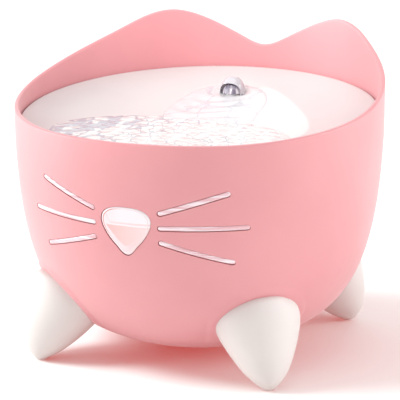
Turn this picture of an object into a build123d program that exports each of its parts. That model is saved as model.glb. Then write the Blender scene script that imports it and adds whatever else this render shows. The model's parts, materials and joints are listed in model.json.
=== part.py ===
"""Pet water fountain: a round, eared bowl on four claw feet, with a lift-out
drinking tray, a spout fed by a submerged pump, and a filter under the tray.

Millimetres. Origin on the floor under the middle of the bowl, +Z up.
The front, where the nose window is, faces -Y. The ears stand at the back, +Y.
Angles round the bowl are degrees from the front, positive towards +X.
"""
from build123d import *
from math import cos, hypot, radians, sin, sqrt, tan
import os

os.makedirs("parts", exist_ok=True)

# ---------------------------------------------------------------- sizes
# Bowl shell
body_radius = 118.0           # outside of the wall, from the shoulder up
shell_wall = 3.0
base_height = 6.0             # underside of the bowl above the floor
base_flat_radius = 35.0
shoulder_height = 151.0       # the wall stands upright above this
rim_front_height = 155.0
ear_height = 200.8
ear_valley_height = 177.6     # lowest point of the rim between the ears
ear_angle = 148.6

# Ledge inside the wall that carries the tray
ledge_height = 138.0
ledge_width = 5.0
ledge_depth = 4.0

# Feet
foot_angles = {"front_right": 45, "front_left": -45, "rear_right": 135, "rear_left": -135}
foot_height = 58.0
foot_half_width = 27.2
foot_overhang = 1.3           # how far the foot's bulge stands outside the wall
foot_seat_gap = 0.15
collar_raise = 0.8            # moulded pad on the bowl round each foot
collar_margin = 4.5
peg_radius = 4.5
peg_inset = 18.0              # peg axis, in from the outside of the wall
peg_bottom = 24.0
peg_gap = 0.2
screw_radius = 1.5
screw_head_radius = 2.9
screw_head_height = 2.4
screw_length = 16.0
screw_web = 4.0               # foot material between screw head and peg
screw_gap = 0.1
screw_head_gap = 0.6          # round the head in its counterbore
screw_slot_width = 0.8        # cross recess in the head
screw_slot_length = 4.0
screw_slot_depth = 0.8
screw_tip_gap = 0.6
pad_radius = 3.2
pad_height = 2.6
pad_inset = 9.0               # pad centre, in from the outside of the wall
pad_proud = 0.6               # rubber below the foot's own tip

# Nose window and its gasket
nose_half_width = 15.9
nose_bottom = 85.9
nose_height = 30.1
nose_proud = 1.3
nose_flange = 3.0
nose_flange_thickness = 2.0
gasket_thickness = 1.2
gasket_width = 2.4
window_gap = 0.15

# Whiskers: inner and outer end of each strip, as x and z on one side of the nose
whisker_ends = {
    "upper": ((21.3, 113.5), (59.6, 126.1)),
    "middle": ((21.0, 104.5), (68.4, 105.0)),
    "lower": ((21.0, 95.4), (60.0, 83.2)),
}
whisker_width = 2.6
whisker_proud = 0.7
whisker_depth = 1.5
whisker_gap = 0.15

# Drinking tray
tray_gap = 0.8                # round the tray's edge
tray_thickness = 2.4
tray_edge_rise = 11.8         # tray's edge above the ledge, along the front
tray_tilt = 4.67              # degrees, up towards the back
tray_tilt_start = -37.3       # y where the edge begins to climb
tray_tilt_blend = 12.0
tray_seat_gap = 0.2
skirt_thickness = 2.2
pool_rise = 9.0               # water level above the ledge
pool_depth = 7.5
pool_front_shelf = 12.0       # from the pool's front to the inside of the wall
pool_half_width = 77.0
pool_half_depth = 53.0
tray_flare = 1.25             # above 1 the slope steepens towards the wall
well_inset = 22.0             # overflow well's middle, in from the inside of the wall
well_length = 32.0
well_width = 11.0
well_wall = 2.0
well_rib = 1.6
well_rib_count = 3

# Spout, its cap and the riser tube
spout_inset = 57.0            # spout axis, in from the inside of the wall
spout_seat_rise = 0.06        # seat above the tray's slope at the spout
spout_seat_radius = 10.5
spout_neck_radius = 5.2
spout_neck_height = 3.5
spout_bore = 3.7
cap_radius = 8.75
cap_height = 11.2
cap_wall = 1.4
cap_ring_height = 1.6         # base ring that slips over the neck
cap_mouth_width = 11.0
cap_mouth_height = 6.2
cap_gap = 0.3
riser_radius = 7.0
riser_wall = 1.6
riser_socket_wall = 2.0
riser_socket_depth = 12.0
riser_gap = 0.15
boot_wall = 1.9
boot_grip = 10.0              # length of boot on the riser
outlet_radius = 4.9
outlet_wall = 1.3
outlet_height = 9.0
outlet_gap = 0.3

# Filter basket and cartridge
basket_front_gap = 13.0       # from the basket to the inside of the wall
basket_radius = 54.0
basket_wall = 1.8
basket_drop = 26.0            # basket's underside below the ledge
basket_height = 23.0
basket_slots = 7
basket_slot_width = 4.0
collar_gap = 0.5              # between basket and the tray's collar
collar_wall = 2.0
collar_drop = 9.0             # collar's lower edge below the ledge
frame_wall = 1.6
frame_height = 15.0
frame_rib = 1.2
frame_gap = 0.3
foam_height = 5.0
media_height = 5.0
felt_height = 2.6
layer_gap = 0.2

# Pump
seat_cover = 0.73333          # height of the pump's flat seat above the bowl's floor, under the cups' far edge
pump_seat_margin = 6.0
pump_width = 36.0
pump_height = 30.0
pump_length = 49.0
pump_corner = 3.0
pump_wall = 2.2
cup_height = 8.0
cup_radius = 7.0
cup_neck_radius = 2.4
cup_neck_length = 3.0
cup_inset = 8.0               # cup centres, in from the pump's sides
rotor_radius = 7.0
rotor_length = 18.0
rotor_gap = 0.7
shaft_radius = 1.15
shaft_gap = 0.06
hub_radius = 3.0
impeller_radius = 11.5
impeller_disc = 1.2
blade_height = 5.0
blade_thickness = 1.2
blade_count = 6
chamber_radius = 13.0
chamber_depth = 10.0
bush_radius = 3.0
bush_length = 2.5
bush_gap = 0.05
cover_thickness = 2.5
intake_hole_radius = 2.2
intake_hole_count = 6
intake_ring_radius = 7.5
strainer_depth = 6.0
strainer_wall = 1.4
strainer_slot_width = 1.8
strainer_slots = 6
sponge_gap = 0.3
core_width = 26.4
core_height = 12.0
core_leg = 4.0
core_yoke = 6.0
coil_thickness = 2.5
part_gap = 0.2                # between the sealed pieces inside the pump
end_cap_thickness = 2.5
lead_boss_wall = 1.5          # round the lead where it enters the end cap
lead_boss_length = 4.0
impeller_front_gap = 0.8      # disc to the chamber's front wall
rotor_end_gap = 1.0           # rotor to the chamber, and to its front bush
coil_play = 1.0               # coil to the end cap, and to the core's legs
cup_shoulder_radius = 4.2
cup_waist_radius = 2.6
cup_hollow_radius = 1.5
cup_hollow_height = 2.2
cup_lip_width = 1.2

# Lead inside the bowl and its gland in the back wall
lead_radius = 2.25
lead_entry_height = 12.0      # above the pump's underside
gland_drop = 18.0             # gland's axis below the ledge
gland_radius = 4.5
gland_flange = 2.6
gland_flange_thickness = 0.9
gland_gap = 0.12

# ---------------------------------------------------------------- worked-out places
inner_radius = body_radius - shell_wall
tray_radius = inner_radius - tray_gap
skirt_bottom = ledge_height + tray_seat_gap
pool_centre_y = pool_front_shelf + pool_half_depth - inner_radius
well_y = well_inset - inner_radius
spout_y = inner_radius - spout_inset
basket_y = basket_front_gap + basket_radius - inner_radius
gland_height = ledge_height - gland_drop
tray_front_edge = ledge_height + tray_edge_rise
pool_level = ledge_height + pool_rise
basket_bottom = ledge_height - basket_drop
collar_bottom = ledge_height - collar_drop


# Bowl outline below the shoulder: share of the radius, share of the height
# from the underside to the shoulder.
belly_outline = [(0.543, 0.063), (0.720, 0.154), (0.848, 0.284), (0.926, 0.447),
                 (0.967, 0.610), (0.992, 0.805)]


def belly_height(radius):
    """Height of the bowl's underside at a radius, straight between its points."""
    points = [(base_flat_radius, base_height)]
    points += [(body_radius * r, base_height + (shoulder_height - base_height) * h) for r, h in belly_outline]
    for (r0, z0), (r1, z1) in zip(points, points[1:]):
        if radius <= r1:
            return z0 + (z1 - z0) * max(radius - r0, 0) / (r1 - r0)
    return shoulder_height


def tray_edge_height(y):
    """Height of the tray's edge: level along the front, then climbing."""
    past = y - tray_tilt_start
    eased = (past + sqrt(past * past + tray_tilt_blend ** 2)) / 2
    return tray_front_edge + eased * tan(radians(tray_tilt))


def tray_height(x, y):
    """Height of the tray's top. Straight out from the pool's centre it is a
    shallow bowl up to the water line, then a slope to the edge at the wall."""
    dx, dy = x, y - pool_centre_y
    reach = max(hypot(dx, dy), 1e-6)
    ux, uy = dx / reach, dy / reach
    shore = 1 / hypot(ux / pool_half_width, uy / pool_half_depth)
    along = pool_centre_y * uy
    wall = -along + sqrt(along ** 2 + inner_radius ** 2 - pool_centre_y ** 2)
    rise = tray_edge_height(pool_centre_y + wall * uy) - pool_level
    entry = (2 - tray_flare) * rise / (wall - shore) * shore
    if reach <= shore:
        share = reach / shore
        quartic = (entry - 2 * pool_depth) / 2
        return pool_level - pool_depth + (pool_depth - quartic) * share ** 2 + quartic * share ** 4
    share = (reach - shore) / (wall - shore)
    return pool_level + rise * ((2 - tray_flare) * share + (tray_flare - 1) * share ** 2)


spout_seat_height = tray_height(0, spout_y) + spout_seat_rise
pump_back = spout_y + chamber_depth / 2          # the outlet sits over the chamber
cup_reach = hypot(pump_width / 2 - cup_inset, pump_back - cup_inset) + cup_radius
pump_seat_height = belly_height(cup_reach) + shell_wall + seat_cover
pump_bottom = pump_seat_height + cup_height
pump_top = pump_bottom + pump_height
pump_front = pump_back - pump_length
pump_y = (pump_back + pump_front) / 2
rotor_z = pump_bottom + pump_height / 2
chamber_front = pump_back - chamber_depth
rotor_back = chamber_front - rotor_end_gap
rotor_front = rotor_back - rotor_length
lead_x = -(pump_width / 2 - pump_wall - part_gap - lead_radius - 2.0)
boot_bottom = pump_top + outlet_gap * 2
riser_bottom = pump_top + outlet_height + outlet_gap * 2
riser_top = spout_seat_height - tray_thickness - 2.0

# Rim outline on one side. Up to the ear tip: angle, share of the climb from the
# front rim to the tip. Behind it: share of the drop from tip to valley that is left.
ear_flank = [(0, 0.0), (20, 0.0), (36, 0.005), (50, 0.035), (62, 0.07), (75, 0.13), (90, 0.24),
             (104, 0.38), (119, 0.577), (131, 0.772), (140, 0.934)]
ear_dip = [(156.5, 0.866), (164.6, 0.573), (172.9, 0.207), (180, 0.0)]

# Foot cross-sections: share of the height, share of the half width, and how far
# the section's front and back lie inside the foot's outermost point.
foot_sections = [(0.000, 0.147, 6.3, 13.8), (0.060, 0.294, 3.6, 21.5), (0.181, 0.533, 0.8, 32.3),
                 (0.355, 0.754, 0.1, 44.3), (0.529, 0.926, 1.5, 52.3), (0.687, 1.000, 3.4, 54.3),
                 (0.826, 0.897, 5.8, 46.3), (0.930, 0.632, 8.6, 33.3), (0.993, 0.240, 11.8, 21.3)]

# Nose outline, half of it: share of the half width, share of the height.
nose_outline = [(0.15, 0.027), (0.37, 0.15), (0.65, 0.316), (0.874, 0.495), (0.99, 0.65),
                (1.0, 0.75), (0.937, 0.844), (0.755, 0.93), (0.46, 0.983)]


# ---------------------------------------------------------------- helpers
def around(radius, angle, height=0.0):
    """A point at an angle round the bowl."""
    return Vector(radius * sin(radians(angle)), -radius * cos(radians(angle)), height)


def belly_curve(inset):
    """The bowl's outline from its flat base to its shoulder, moved in by inset."""
    rise = shoulder_height - base_height
    points = [(body_radius * r, 0, base_height + rise * h) for r, h in belly_outline]
    points = [(base_flat_radius, 0, base_height)] + points + [(body_radius, 0, shoulder_height)]
    ends = [(1, 0, 0.2), (0, 0, 1)]
    outer = Spline(*points, tangents=ends)
    if inset == 0:
        return outer
    count = 20
    moved = []
    for step in range(count + 1):
        place, along = outer @ (step / count), outer % (step / count)
        moved.append(place + Vector(-along.Z, 0, along.X) * inset)
    return Spline(*moved, tangents=ends)


def belly_solid(inset, top):
    """A solid of the bowl's outer form moved in by inset, flat on top."""
    curve = belly_curve(inset)
    foot, shoulder = curve @ 0, curve @ 1
    corners = [shoulder, (shoulder.X, 0, top), (0, 0, top), (0, 0, foot.Z), foot]
    outline = make_face([curve] + [Line(a, b) for a, b in zip(corners, corners[1:])])
    return revolve(outline, Axis.Z)


def band(outer_inset, inner_inset):
    """The layer of the bowl's wall between two insets."""
    top = ear_height + 10
    return belly_solid(outer_inset, top) - belly_solid(inner_inset, top + 5)


def cylinder(radius, low, high, x=0.0, y=0.0):
    """An upright cylinder between two heights."""
    return Pos(x, y, (low + high) / 2) * Cylinder(radius, high - low)


def tube(outer, inner, low, high, x=0.0, y=0.0):
    """An upright tube between two heights."""
    return cylinder(outer, low, high, x, y) - cylinder(inner, low - 1, high + 1, x, y)


def rod(radius, near, far, x=0.0, z=0.0):
    """A cylinder along Y between two values of y."""
    return Pos(x, (near + far) / 2, z) * Rot(90, 0, 0) * Cylinder(radius, far - near)


def block(width, near, far, low, high, x=0.0):
    """A box centred on x, between two values of y and of z."""
    return Pos(x, (near + far) / 2, (low + high) / 2) * Box(width, far - near, high - low)


def rounded_block(width, near, far, low, high, corner):
    """A box whose four edges along Y are rounded."""
    body = block(width, near, far, low, high)
    return fillet(body.edges().filter_by(Axis.Y), corner)


def dome(radius, height):
    """A rounded dome standing on z = 0."""
    side = Spline((radius, 0, 0), (radius * cos(radians(45)), 0, height * sin(radians(45))), (0, 0, height),
                  tangents=[(0, 0, 1), (-1, 0, 0)])
    outline = make_face([Line((0, 0, 0), (radius, 0, 0)), side, Line((0, 0, height), (0, 0, 0))])
    return revolve(outline, Axis.Z)


def save(shape, node):
    """Write one node."""
    export_step(shape, f"parts/{node}.step")


# ---------------------------------------------------------------- bowl
def rim_points():
    """The rim outline from the front to the back, as angles and heights."""
    climb = ear_height - rim_front_height
    drop = ear_height - ear_valley_height
    flank = [(a * ear_angle / 148.6, rim_front_height + climb * s) for a, s in ear_flank]
    dip = [(180 - (180 - a) * (180 - ear_angle) / 31.4, ear_valley_height + drop * s) for a, s in ear_dip]
    return flank + [(ear_angle, ear_height)] + dip


def rim_cutter():
    """Everything above the wavy rim: a ring whose underside is the rim."""
    right = rim_points()
    left = [(-angle, height) for angle, height in reversed(right[1:-1])]
    edges = []
    for radius in (inner_radius - 8, body_radius + 8):
        points = [around(radius, angle, height) for angle, height in right + left]
        edges.append(Spline(*points, periodic=True))
    sheet = Face.make_surface_from_curves(edges[0].edge(), edges[1].edge())
    return Solid.extrude(sheet, Vector(0, 0, body_radius))


def nose_prism(grow):
    """The nose outline, grown all round, carried through the front wall."""
    middle = nose_bottom + nose_height * 0.62
    right = []
    for share_x, share_z in nose_outline:
        x, z = nose_half_width * share_x, nose_bottom + nose_height * share_z
        reach = hypot(x, z - middle)
        right.append((x * (1 + grow / reach), middle + (z - middle) * (1 + grow / reach)))
    top, tip = nose_bottom + nose_height + grow, nose_bottom - grow
    left = [(-x, z) for x, z in reversed(right)]
    points = [(0, tip)] + right + [(0, top)] + left
    outline = make_face(Spline(*points, periodic=True))
    return extrude(Plane.XZ * outline, amount=body_radius / 2, both=True).moved(Location((0, -body_radius, 0)))


def whisker_prism(ends, grow, side):
    """A round-ended strip between two points, carried through the front wall."""
    (x0, z0), (x1, z1) = ends
    length = hypot(x1 - x0, z1 - z0)
    strip = SlotCenterToCenter(length, whisker_width + 2 * grow)
    turn = Vector(x1 - x0, z1 - z0).get_signed_angle(Vector(1, 0))
    strip = Pos((x0 + x1) / 2, (z0 + z1) / 2) * Rot(0, 0, -turn) * strip
    prism = extrude(Plane.XZ * strip, amount=body_radius / 2, both=True).moved(Location((0, -body_radius, 0)))
    return prism if side == "right" else prism.mirror(Plane.YZ)


def foot_form(grow):
    """A claw foot pointing along +X, as a smooth stack of oval sections."""
    front = body_radius + foot_overhang
    sections = []
    for height, width, tip, heel in foot_sections:
        reach = (heel - tip) / 2 + grow
        oval = Ellipse(reach, foot_half_width * width + grow)
        level = pad_proud + (foot_height + grow - pad_proud) * height
        sections.append(Pos(front - (heel + tip) / 2, 0, level) * oval)
    return loft(sections)


def turned(shape, angle):
    """A shape made along +X, turned to an angle round the bowl."""
    return Rot(0, 0, angle - 90) * shape


def make_bowl():
    """Pink shell with its ears, ledge, foot pads, pump seat and openings."""
    top = ear_height + 10
    shell = band(0, shell_wall) - rim_cutter()

    ledge_inner = inner_radius - ledge_width
    slope = ledge_height - ledge_depth - ledge_width
    ledge = make_face(Polyline((ledge_inner, 0, ledge_height), (body_radius, 0, ledge_height),
                               (body_radius, 0, slope), (inner_radius - 1, 0, slope),
                               (ledge_inner, 0, ledge_height - ledge_depth),
                               (ledge_inner, 0, ledge_height)))
    shell += revolve(ledge, Axis.Z) & belly_solid(shell_wall / 2, top)

    seat = block(pump_width + pump_seat_margin, pump_front - pump_seat_margin,
                 pump_back, base_height, pump_seat_height)
    shell += seat & belly_solid(shell_wall / 2, top)

    skin = band(-collar_raise, shell_wall / 2)
    outside = belly_solid(shell_wall / 2, top)
    for angle in foot_angles.values():
        peg = cylinder(peg_radius, peg_bottom, foot_height, x=body_radius - peg_inset) - turned(outside, 0)
        shell += turned(foot_form(collar_margin), angle) & skin
        shell += turned(peg, angle)
        depth = peg_bottom + screw_length - screw_web
        pilot = cylinder(screw_radius + screw_gap, 0, depth, x=body_radius - peg_inset)
        shell -= turned(pilot, angle)

    shell -= nose_prism(window_gap)
    slots = band(-5, whisker_depth + whisker_gap)
    for ends in whisker_ends.values():
        for side in ("left", "right"):
            shell -= whisker_prism(ends, whisker_gap, side) & slots
    shell -= rod(gland_radius + gland_gap, body_radius - 20, body_radius + 20, z=gland_height)
    return shell


def make_window():
    """Clear nose window: a plug through the wall with a flange behind it."""
    behind = shell_wall + gasket_thickness
    plug = nose_prism(0) & band(-nose_proud, behind + 0.5)
    flange = nose_prism(nose_flange) & band(behind, behind + nose_flange_thickness)
    return plug + flange


def make_gasket():
    """Rubber ring between the wall and the window's flange."""
    ring = nose_prism(gasket_width) - nose_prism(window_gap)
    return ring & band(shell_wall + window_gap / 2, shell_wall + gasket_thickness - window_gap / 2)


def make_foot():
    """White foot with a socket for the bowl's peg and a counterbored screw hole."""
    foot = foot_form(0) - belly_solid(-collar_raise - foot_seat_gap, ear_height)
    peg_x, pad_x = body_radius - peg_inset, body_radius - pad_inset
    head_top = peg_bottom - screw_web
    foot -= cylinder(peg_radius + peg_gap, peg_bottom - peg_gap, foot_height + 5, x=peg_x)
    foot -= cylinder(screw_radius + screw_gap, 0, peg_bottom, x=peg_x)
    foot -= cylinder(screw_head_radius + screw_head_gap, -1, head_top, x=peg_x)
    foot -= cylinder(pad_radius + 0.1, -1, pad_height + 0.05, x=pad_x)
    return foot


def make_screw():
    """Pan-head screw that pulls the foot up on its peg."""
    x, seat = body_radius - peg_inset, peg_bottom - screw_web
    head = cylinder(screw_head_radius, seat - screw_head_height, seat - 0.05, x=x)
    for length, width in ((screw_slot_length, screw_slot_width), (screw_slot_width, screw_slot_length)):
        head -= Pos(x, 0, seat - screw_head_height) * Box(length, width, 2 * screw_slot_depth)
    return head + cylinder(screw_radius, seat - 0.1, seat + screw_length - screw_tip_gap, x=x)


# ---------------------------------------------------------------- tray
def make_tray():
    """White tray: sloping top with a pool, skirt, basket collar, well and spout."""
    half, steps = inner_radius + 6, 28
    ticks = [-half + 2 * half * i / steps for i in range(steps + 1)]
    grid = [[Vector(x, y, tray_height(x, y)) for y in ticks] for x in ticks]
    top = Face.make_surface_from_array_of_points(grid, tol=0.02, max_deg=5)
    sky = ear_height + 10
    column = cylinder(tray_radius, basket_bottom, sky)
    plate = Solid.extrude(top, Vector(0, 0, -tray_thickness)) & column
    under = Solid.extrude(top, Vector(0, 0, -body_radius / 2)) & column

    skirt = tube(tray_radius, tray_radius - skirt_thickness, skirt_bottom, sky)
    collar_inner = basket_radius + collar_gap
    collar = tube(collar_inner + collar_wall, collar_inner, collar_bottom, sky, y=basket_y)
    socket_inner = riser_radius + riser_gap
    socket_low = riser_top - riser_socket_depth
    socket = cylinder(socket_inner + riser_socket_wall, socket_low, sky, y=spout_y)
    tray = plate + (skirt & under) + (collar & under) + (socket & under)

    well = Pos(0, well_y) * SlotOverall(well_length, well_width)
    hole = Pos(0, well_y) * SlotOverall(well_length - 2 * well_wall, well_width - 2 * well_wall)
    floor = pool_level - pool_depth - tray_thickness
    tray += extrude(Plane.XY.offset(floor) * well, amount=pool_level - floor)
    grate = extrude(Plane.XY.offset(floor - 10) * hole, amount=sky - floor)
    pitch = (well_length - 2 * well_wall) / (well_rib_count + 1)
    for rib in range(well_rib_count):
        x = pitch * (rib + 1) - (well_length - 2 * well_wall) / 2
        grate -= block(well_rib, well_y - well_width, well_y + well_width, floor, floor + tray_thickness, x)
    tray -= grate

    tray += cylinder(spout_seat_radius, spout_seat_height - tray_thickness, spout_seat_height, y=spout_y)
    tray -= cylinder(spout_seat_radius, spout_seat_height, spout_seat_height + 10, y=spout_y)
    neck_top = spout_seat_height + spout_neck_height
    tray += cylinder(spout_neck_radius, spout_seat_height - 1, neck_top, y=spout_y)
    tray -= cylinder(spout_bore, socket_low - 1, neck_top + 1, y=spout_y)
    tray -= cylinder(socket_inner, socket_low - 1, riser_top + riser_gap, y=spout_y)
    return tray


def make_cap():
    """Domed spout cap with a mouth facing the pool."""
    base = spout_seat_height + cap_gap
    cap = dome(cap_radius, cap_height) - dome(cap_radius - cap_wall, cap_height - cap_wall)
    mouth = block(cap_mouth_width, -cap_radius - 5, 0, -1, cap_mouth_height)
    mouth = fillet(mouth.edges().filter_by(Axis.Y).sort_by(Axis.Z)[-2:], cap_mouth_height * 0.6)
    cap -= mouth
    ring = tube(cap_radius - cap_wall / 2, spout_neck_radius + cap_gap, 0, cap_ring_height)
    cap += ring - mouth
    return Pos(0, spout_y, base) * cap


def make_riser():
    """Tube that carries water from the pump to the spout."""
    return tube(riser_radius, riser_radius - riser_wall, riser_bottom, riser_top, y=spout_y)


def make_boot():
    """Silicone boot: grips the riser and slips over the pump's outlet."""
    boot_top = riser_bottom + boot_grip
    outer = riser_radius + boot_wall
    boot = tube(outer, outlet_radius + outlet_gap, boot_bottom, boot_top, y=spout_y)
    return boot - cylinder(riser_radius + 0.1, riser_bottom - 0.1, boot_top + 1, y=spout_y)


# ---------------------------------------------------------------- filter
def make_basket():
    """Round basket, slotted underneath, that hangs in the tray's collar."""
    basket = cylinder(basket_radius, basket_bottom, basket_bottom + basket_height, y=basket_y)
    floor = basket_bottom + basket_wall
    inside = basket_radius - basket_wall
    basket -= cylinder(inside, floor, basket_bottom + basket_height + 1, y=basket_y)
    pitch = 2 * inside / (basket_slots + 1)
    for slot in range(basket_slots):
        x = pitch * (slot + 1) - inside
        half = sqrt(inside ** 2 - x ** 2) - 6
        basket -= block(basket_slot_width, basket_y - half, basket_y + half,
                        basket_bottom - 1, floor + 1, x)
    return basket


def make_cartridge():
    """The cartridge's frame and, from the bottom up, its foam, granules and felt."""
    low = basket_bottom + basket_wall + layer_gap
    radius = basket_radius - basket_wall - frame_gap
    inside = radius - frame_wall
    frame = tube(radius, inside, low, low + frame_height, y=basket_y)
    for turn in (0, 60, 120):
        bar = Pos(0, basket_y, low + frame_rib / 2) * Rot(0, 0, turn) * Box(2 * inside + 1, 2.0, frame_rib)
        frame += bar
    layers = {"filter_frame": frame}
    level = low + frame_rib + layer_gap
    heights = {"filter_foam": foam_height, "filter_granules": media_height, "filter_felt": felt_height}
    for name, height in heights.items():
        layers[name] = cylinder(inside - layer_gap, level, level + height, y=basket_y)
        level += height + layer_gap
    return layers


# ---------------------------------------------------------------- pump
def stator_shapes(grow):
    """U-shaped iron core round the rotor, and the coil on its yoke."""
    yoke_front = pump_front + end_cap_thickness + coil_thickness + coil_play
    leg_back = rotor_back - 2 * rotor_end_gap
    low, high = rotor_z - core_height / 2 - grow, rotor_z + core_height / 2 + grow
    yoke = block(core_width + 2 * grow, yoke_front - grow, yoke_front + core_yoke + grow, low, high)
    core = yoke
    for side in (-1, 1):
        x = side * (core_width - core_leg) / 2
        core += block(core_leg + 2 * grow, yoke_front, leg_back + grow, low, high, x)
    coil_width = core_width - 2 * core_leg - coil_play + 2 * grow
    coil = block(coil_width, yoke_front - coil_thickness - grow, yoke_front + core_yoke + coil_thickness + grow,
                 low - coil_thickness, high + coil_thickness)
    return core, coil, yoke


def cup_centres():
    """Where the suction cups stand under the pump."""
    x = pump_width / 2 - cup_inset
    return [(side * x, y) for side in (-1, 1) for y in (pump_front + cup_inset, pump_back - cup_inset)]


def make_pump_housing():
    """Pump body: rotor bore and impeller chamber at the back, coil space in front."""
    housing = rounded_block(pump_width, pump_front, pump_back, pump_bottom, pump_top, pump_corner)
    housing -= rod(chamber_radius, chamber_front, pump_back + 1, z=rotor_z)
    housing -= rod(rotor_radius + rotor_gap, rotor_front - 1, pump_back, z=rotor_z)
    housing -= rod(bush_radius + bush_gap, rotor_front - rotor_end_gap - bush_length, rotor_front, z=rotor_z)
    outlet_top = pump_top + outlet_height
    housing += cylinder(outlet_radius, pump_top - 1, outlet_top, y=spout_y)
    housing -= cylinder(outlet_radius - outlet_wall, rotor_z, outlet_top + 1, y=spout_y)
    core, coil, _ = stator_shapes(part_gap)
    front = pump_front + end_cap_thickness
    housing -= core + coil
    housing -= block(pump_width - 2 * pump_wall, pump_front - 1, front, pump_bottom + pump_wall,
                     pump_top - pump_wall)
    housing -= block(core_width - 2 * core_leg, front - 1, front + coil_thickness + 1,
                     rotor_z - core_height / 2, rotor_z + core_height / 2)
    for x, y in cup_centres():
        housing -= cylinder(cup_neck_radius + 0.1, pump_bottom - 1, pump_bottom + cup_neck_length, x, y)
    return housing


def make_end_cap():
    """Plate that closes the coil space, with the boss where the lead enters."""
    width, height = pump_width - 2 * pump_wall - 2 * part_gap, pump_height - 2 * pump_wall - 2 * part_gap
    low = rotor_z - height / 2
    cap = block(width, pump_front, pump_front + end_cap_thickness - part_gap, low, low + height)
    boss_z = pump_bottom + lead_entry_height
    cap += rod(lead_radius + lead_boss_wall, pump_front - lead_boss_length, pump_front + 0.5, x=lead_x, z=boss_z)
    return cap - rod(lead_radius + 0.1, pump_front - lead_boss_length - 1, pump_front - 0.5, x=lead_x, z=boss_z)


def make_stator():
    """Iron core and coil, clear of each other by a small gap."""
    core, _, _ = stator_shapes(0)
    _, coil, _ = stator_shapes(0)
    _, _, passage = stator_shapes(part_gap)
    return core, coil - passage


def make_impeller():
    """Plastic hub through the magnet, with a disc and straight blades behind it."""
    disc_front = chamber_front + impeller_front_gap
    disc_back = disc_front + impeller_disc
    impeller = rod(hub_radius, rotor_front, disc_back + blade_height, z=rotor_z)
    impeller += rod(impeller_radius, disc_front, disc_back, z=rotor_z)
    for blade in range(blade_count):
        fin = block(impeller_radius - hub_radius + 1, disc_back - 0.2, disc_back + blade_height,
                    -blade_thickness / 2, blade_thickness / 2, x=(impeller_radius + hub_radius - 1) / 2)
        impeller += Pos(0, 0, rotor_z) * Rot(0, blade * 360 / blade_count, 0) * fin
    return impeller - rod(shaft_radius + shaft_gap, rotor_front - 1, pump_back, z=rotor_z)


def make_magnet():
    """Ring magnet on the impeller's hub."""
    magnet = rod(rotor_radius, rotor_front, rotor_back, z=rotor_z)
    return magnet - rod(hub_radius + 0.03, rotor_front - 1, rotor_back + 1, z=rotor_z)


def shaft_ends():
    """Front and back ends of the shaft, each inside its bush."""
    return rotor_front - rotor_end_gap - bush_length + 0.2, pump_back + cover_thickness - 0.4


def make_bushes():
    """The two rubber-set bushes that hold the shaft's ends."""
    bore = rod(shaft_radius + 0.02, pump_front, pump_back + 10, z=rotor_z)
    inner = rod(bush_radius, rotor_front - rotor_end_gap - bush_length + 0.1, rotor_front - rotor_end_gap - 0.1, z=rotor_z)
    outer = rod(bush_radius, pump_back + 0.1, pump_back + cover_thickness - 0.1, z=rotor_z)
    return Compound([inner - bore, outer - bore])


def make_cover():
    """Plate over the impeller chamber with intake holes round the shaft's bush."""
    cover = rounded_block(pump_width, pump_back + 0.05, pump_back + cover_thickness,
                          pump_bottom, pump_top, pump_corner)
    cover -= rod(bush_radius + bush_gap, pump_back - 1, pump_back + cover_thickness + 1, z=rotor_z)
    for hole in range(intake_hole_count):
        turn = radians(360 * hole / intake_hole_count)
        x, z = intake_ring_radius * cos(turn), rotor_z + intake_ring_radius * sin(turn)
        cover -= rod(intake_hole_radius, pump_back - 1, pump_back + cover_thickness + 1, x, z)
    return cover


def make_strainer():
    """Slotted cage behind the cover that holds the sponge."""
    near = pump_back + cover_thickness + 0.05
    far = near + strainer_depth
    cage = rounded_block(pump_width, near, far, pump_bottom, pump_top, pump_corner)
    cage -= block(pump_width - 2 * strainer_wall, near - 1, far - strainer_wall,
                  pump_bottom + strainer_wall, pump_top - strainer_wall)
    pitch = (pump_height - 2 * strainer_wall) / strainer_slots
    for slot in range(strainer_slots):
        z = pump_bottom + strainer_wall + pitch * (slot + 0.5)
        cage -= block(pump_width - 8, far - strainer_wall - 1, far + 1,
                      z - strainer_slot_width / 2, z + strainer_slot_width / 2)
    return cage


def make_sponge():
    """Foam block in the strainer."""
    edge = strainer_wall + sponge_gap
    near = pump_back + cover_thickness + sponge_gap
    far = pump_back + cover_thickness + strainer_depth - edge
    return block(pump_width - 2 * edge, near, far, pump_bottom + edge, pump_top - edge)


def make_cups():
    """Four suction cups under the pump."""
    outline = make_face(Polyline((0, 0, cup_height + cup_neck_length - 0.1),
                                 (cup_neck_radius, 0, cup_height + cup_neck_length - 0.1),
                                 (cup_neck_radius, 0, cup_height - 0.05),
                                 (cup_shoulder_radius, 0, cup_height - 0.05),
                                 (cup_shoulder_radius, 0, cup_height - 2), (cup_waist_radius, 0, cup_height - 3.2),
                                 (cup_waist_radius + 0.6, 0, cup_hollow_height + 1.4), (cup_radius, 0, 0),
                                 (cup_radius - cup_lip_width, 0, 0), (cup_hollow_radius, 0, cup_hollow_height),
                                 (0, 0, cup_hollow_height), (0, 0, cup_height + cup_neck_length - 0.1)))
    cup = revolve(outline, Axis.Z)
    return Compound([Pos(x, y, pump_seat_height) * cup for x, y in cup_centres()])


# ---------------------------------------------------------------- lead and gland

def make_gland():
    """Rubber gland in the back wall, flanged on both faces."""
    neck = rod(gland_radius, body_radius - 20, body_radius + 20, z=gland_height)
    wide = rod(gland_radius + gland_flange, body_radius - 20, body_radius + 20, z=gland_height)
    gland = neck & band(-gland_flange_thickness, shell_wall + 2)
    gland += wide & band(-gland_flange_thickness, -gland_gap)
    gland += wide & band(shell_wall + gland_gap, shell_wall + 2)
    return gland - rod(lead_radius + 0.1, body_radius - 20, body_radius - 0.6, z=gland_height)


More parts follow.
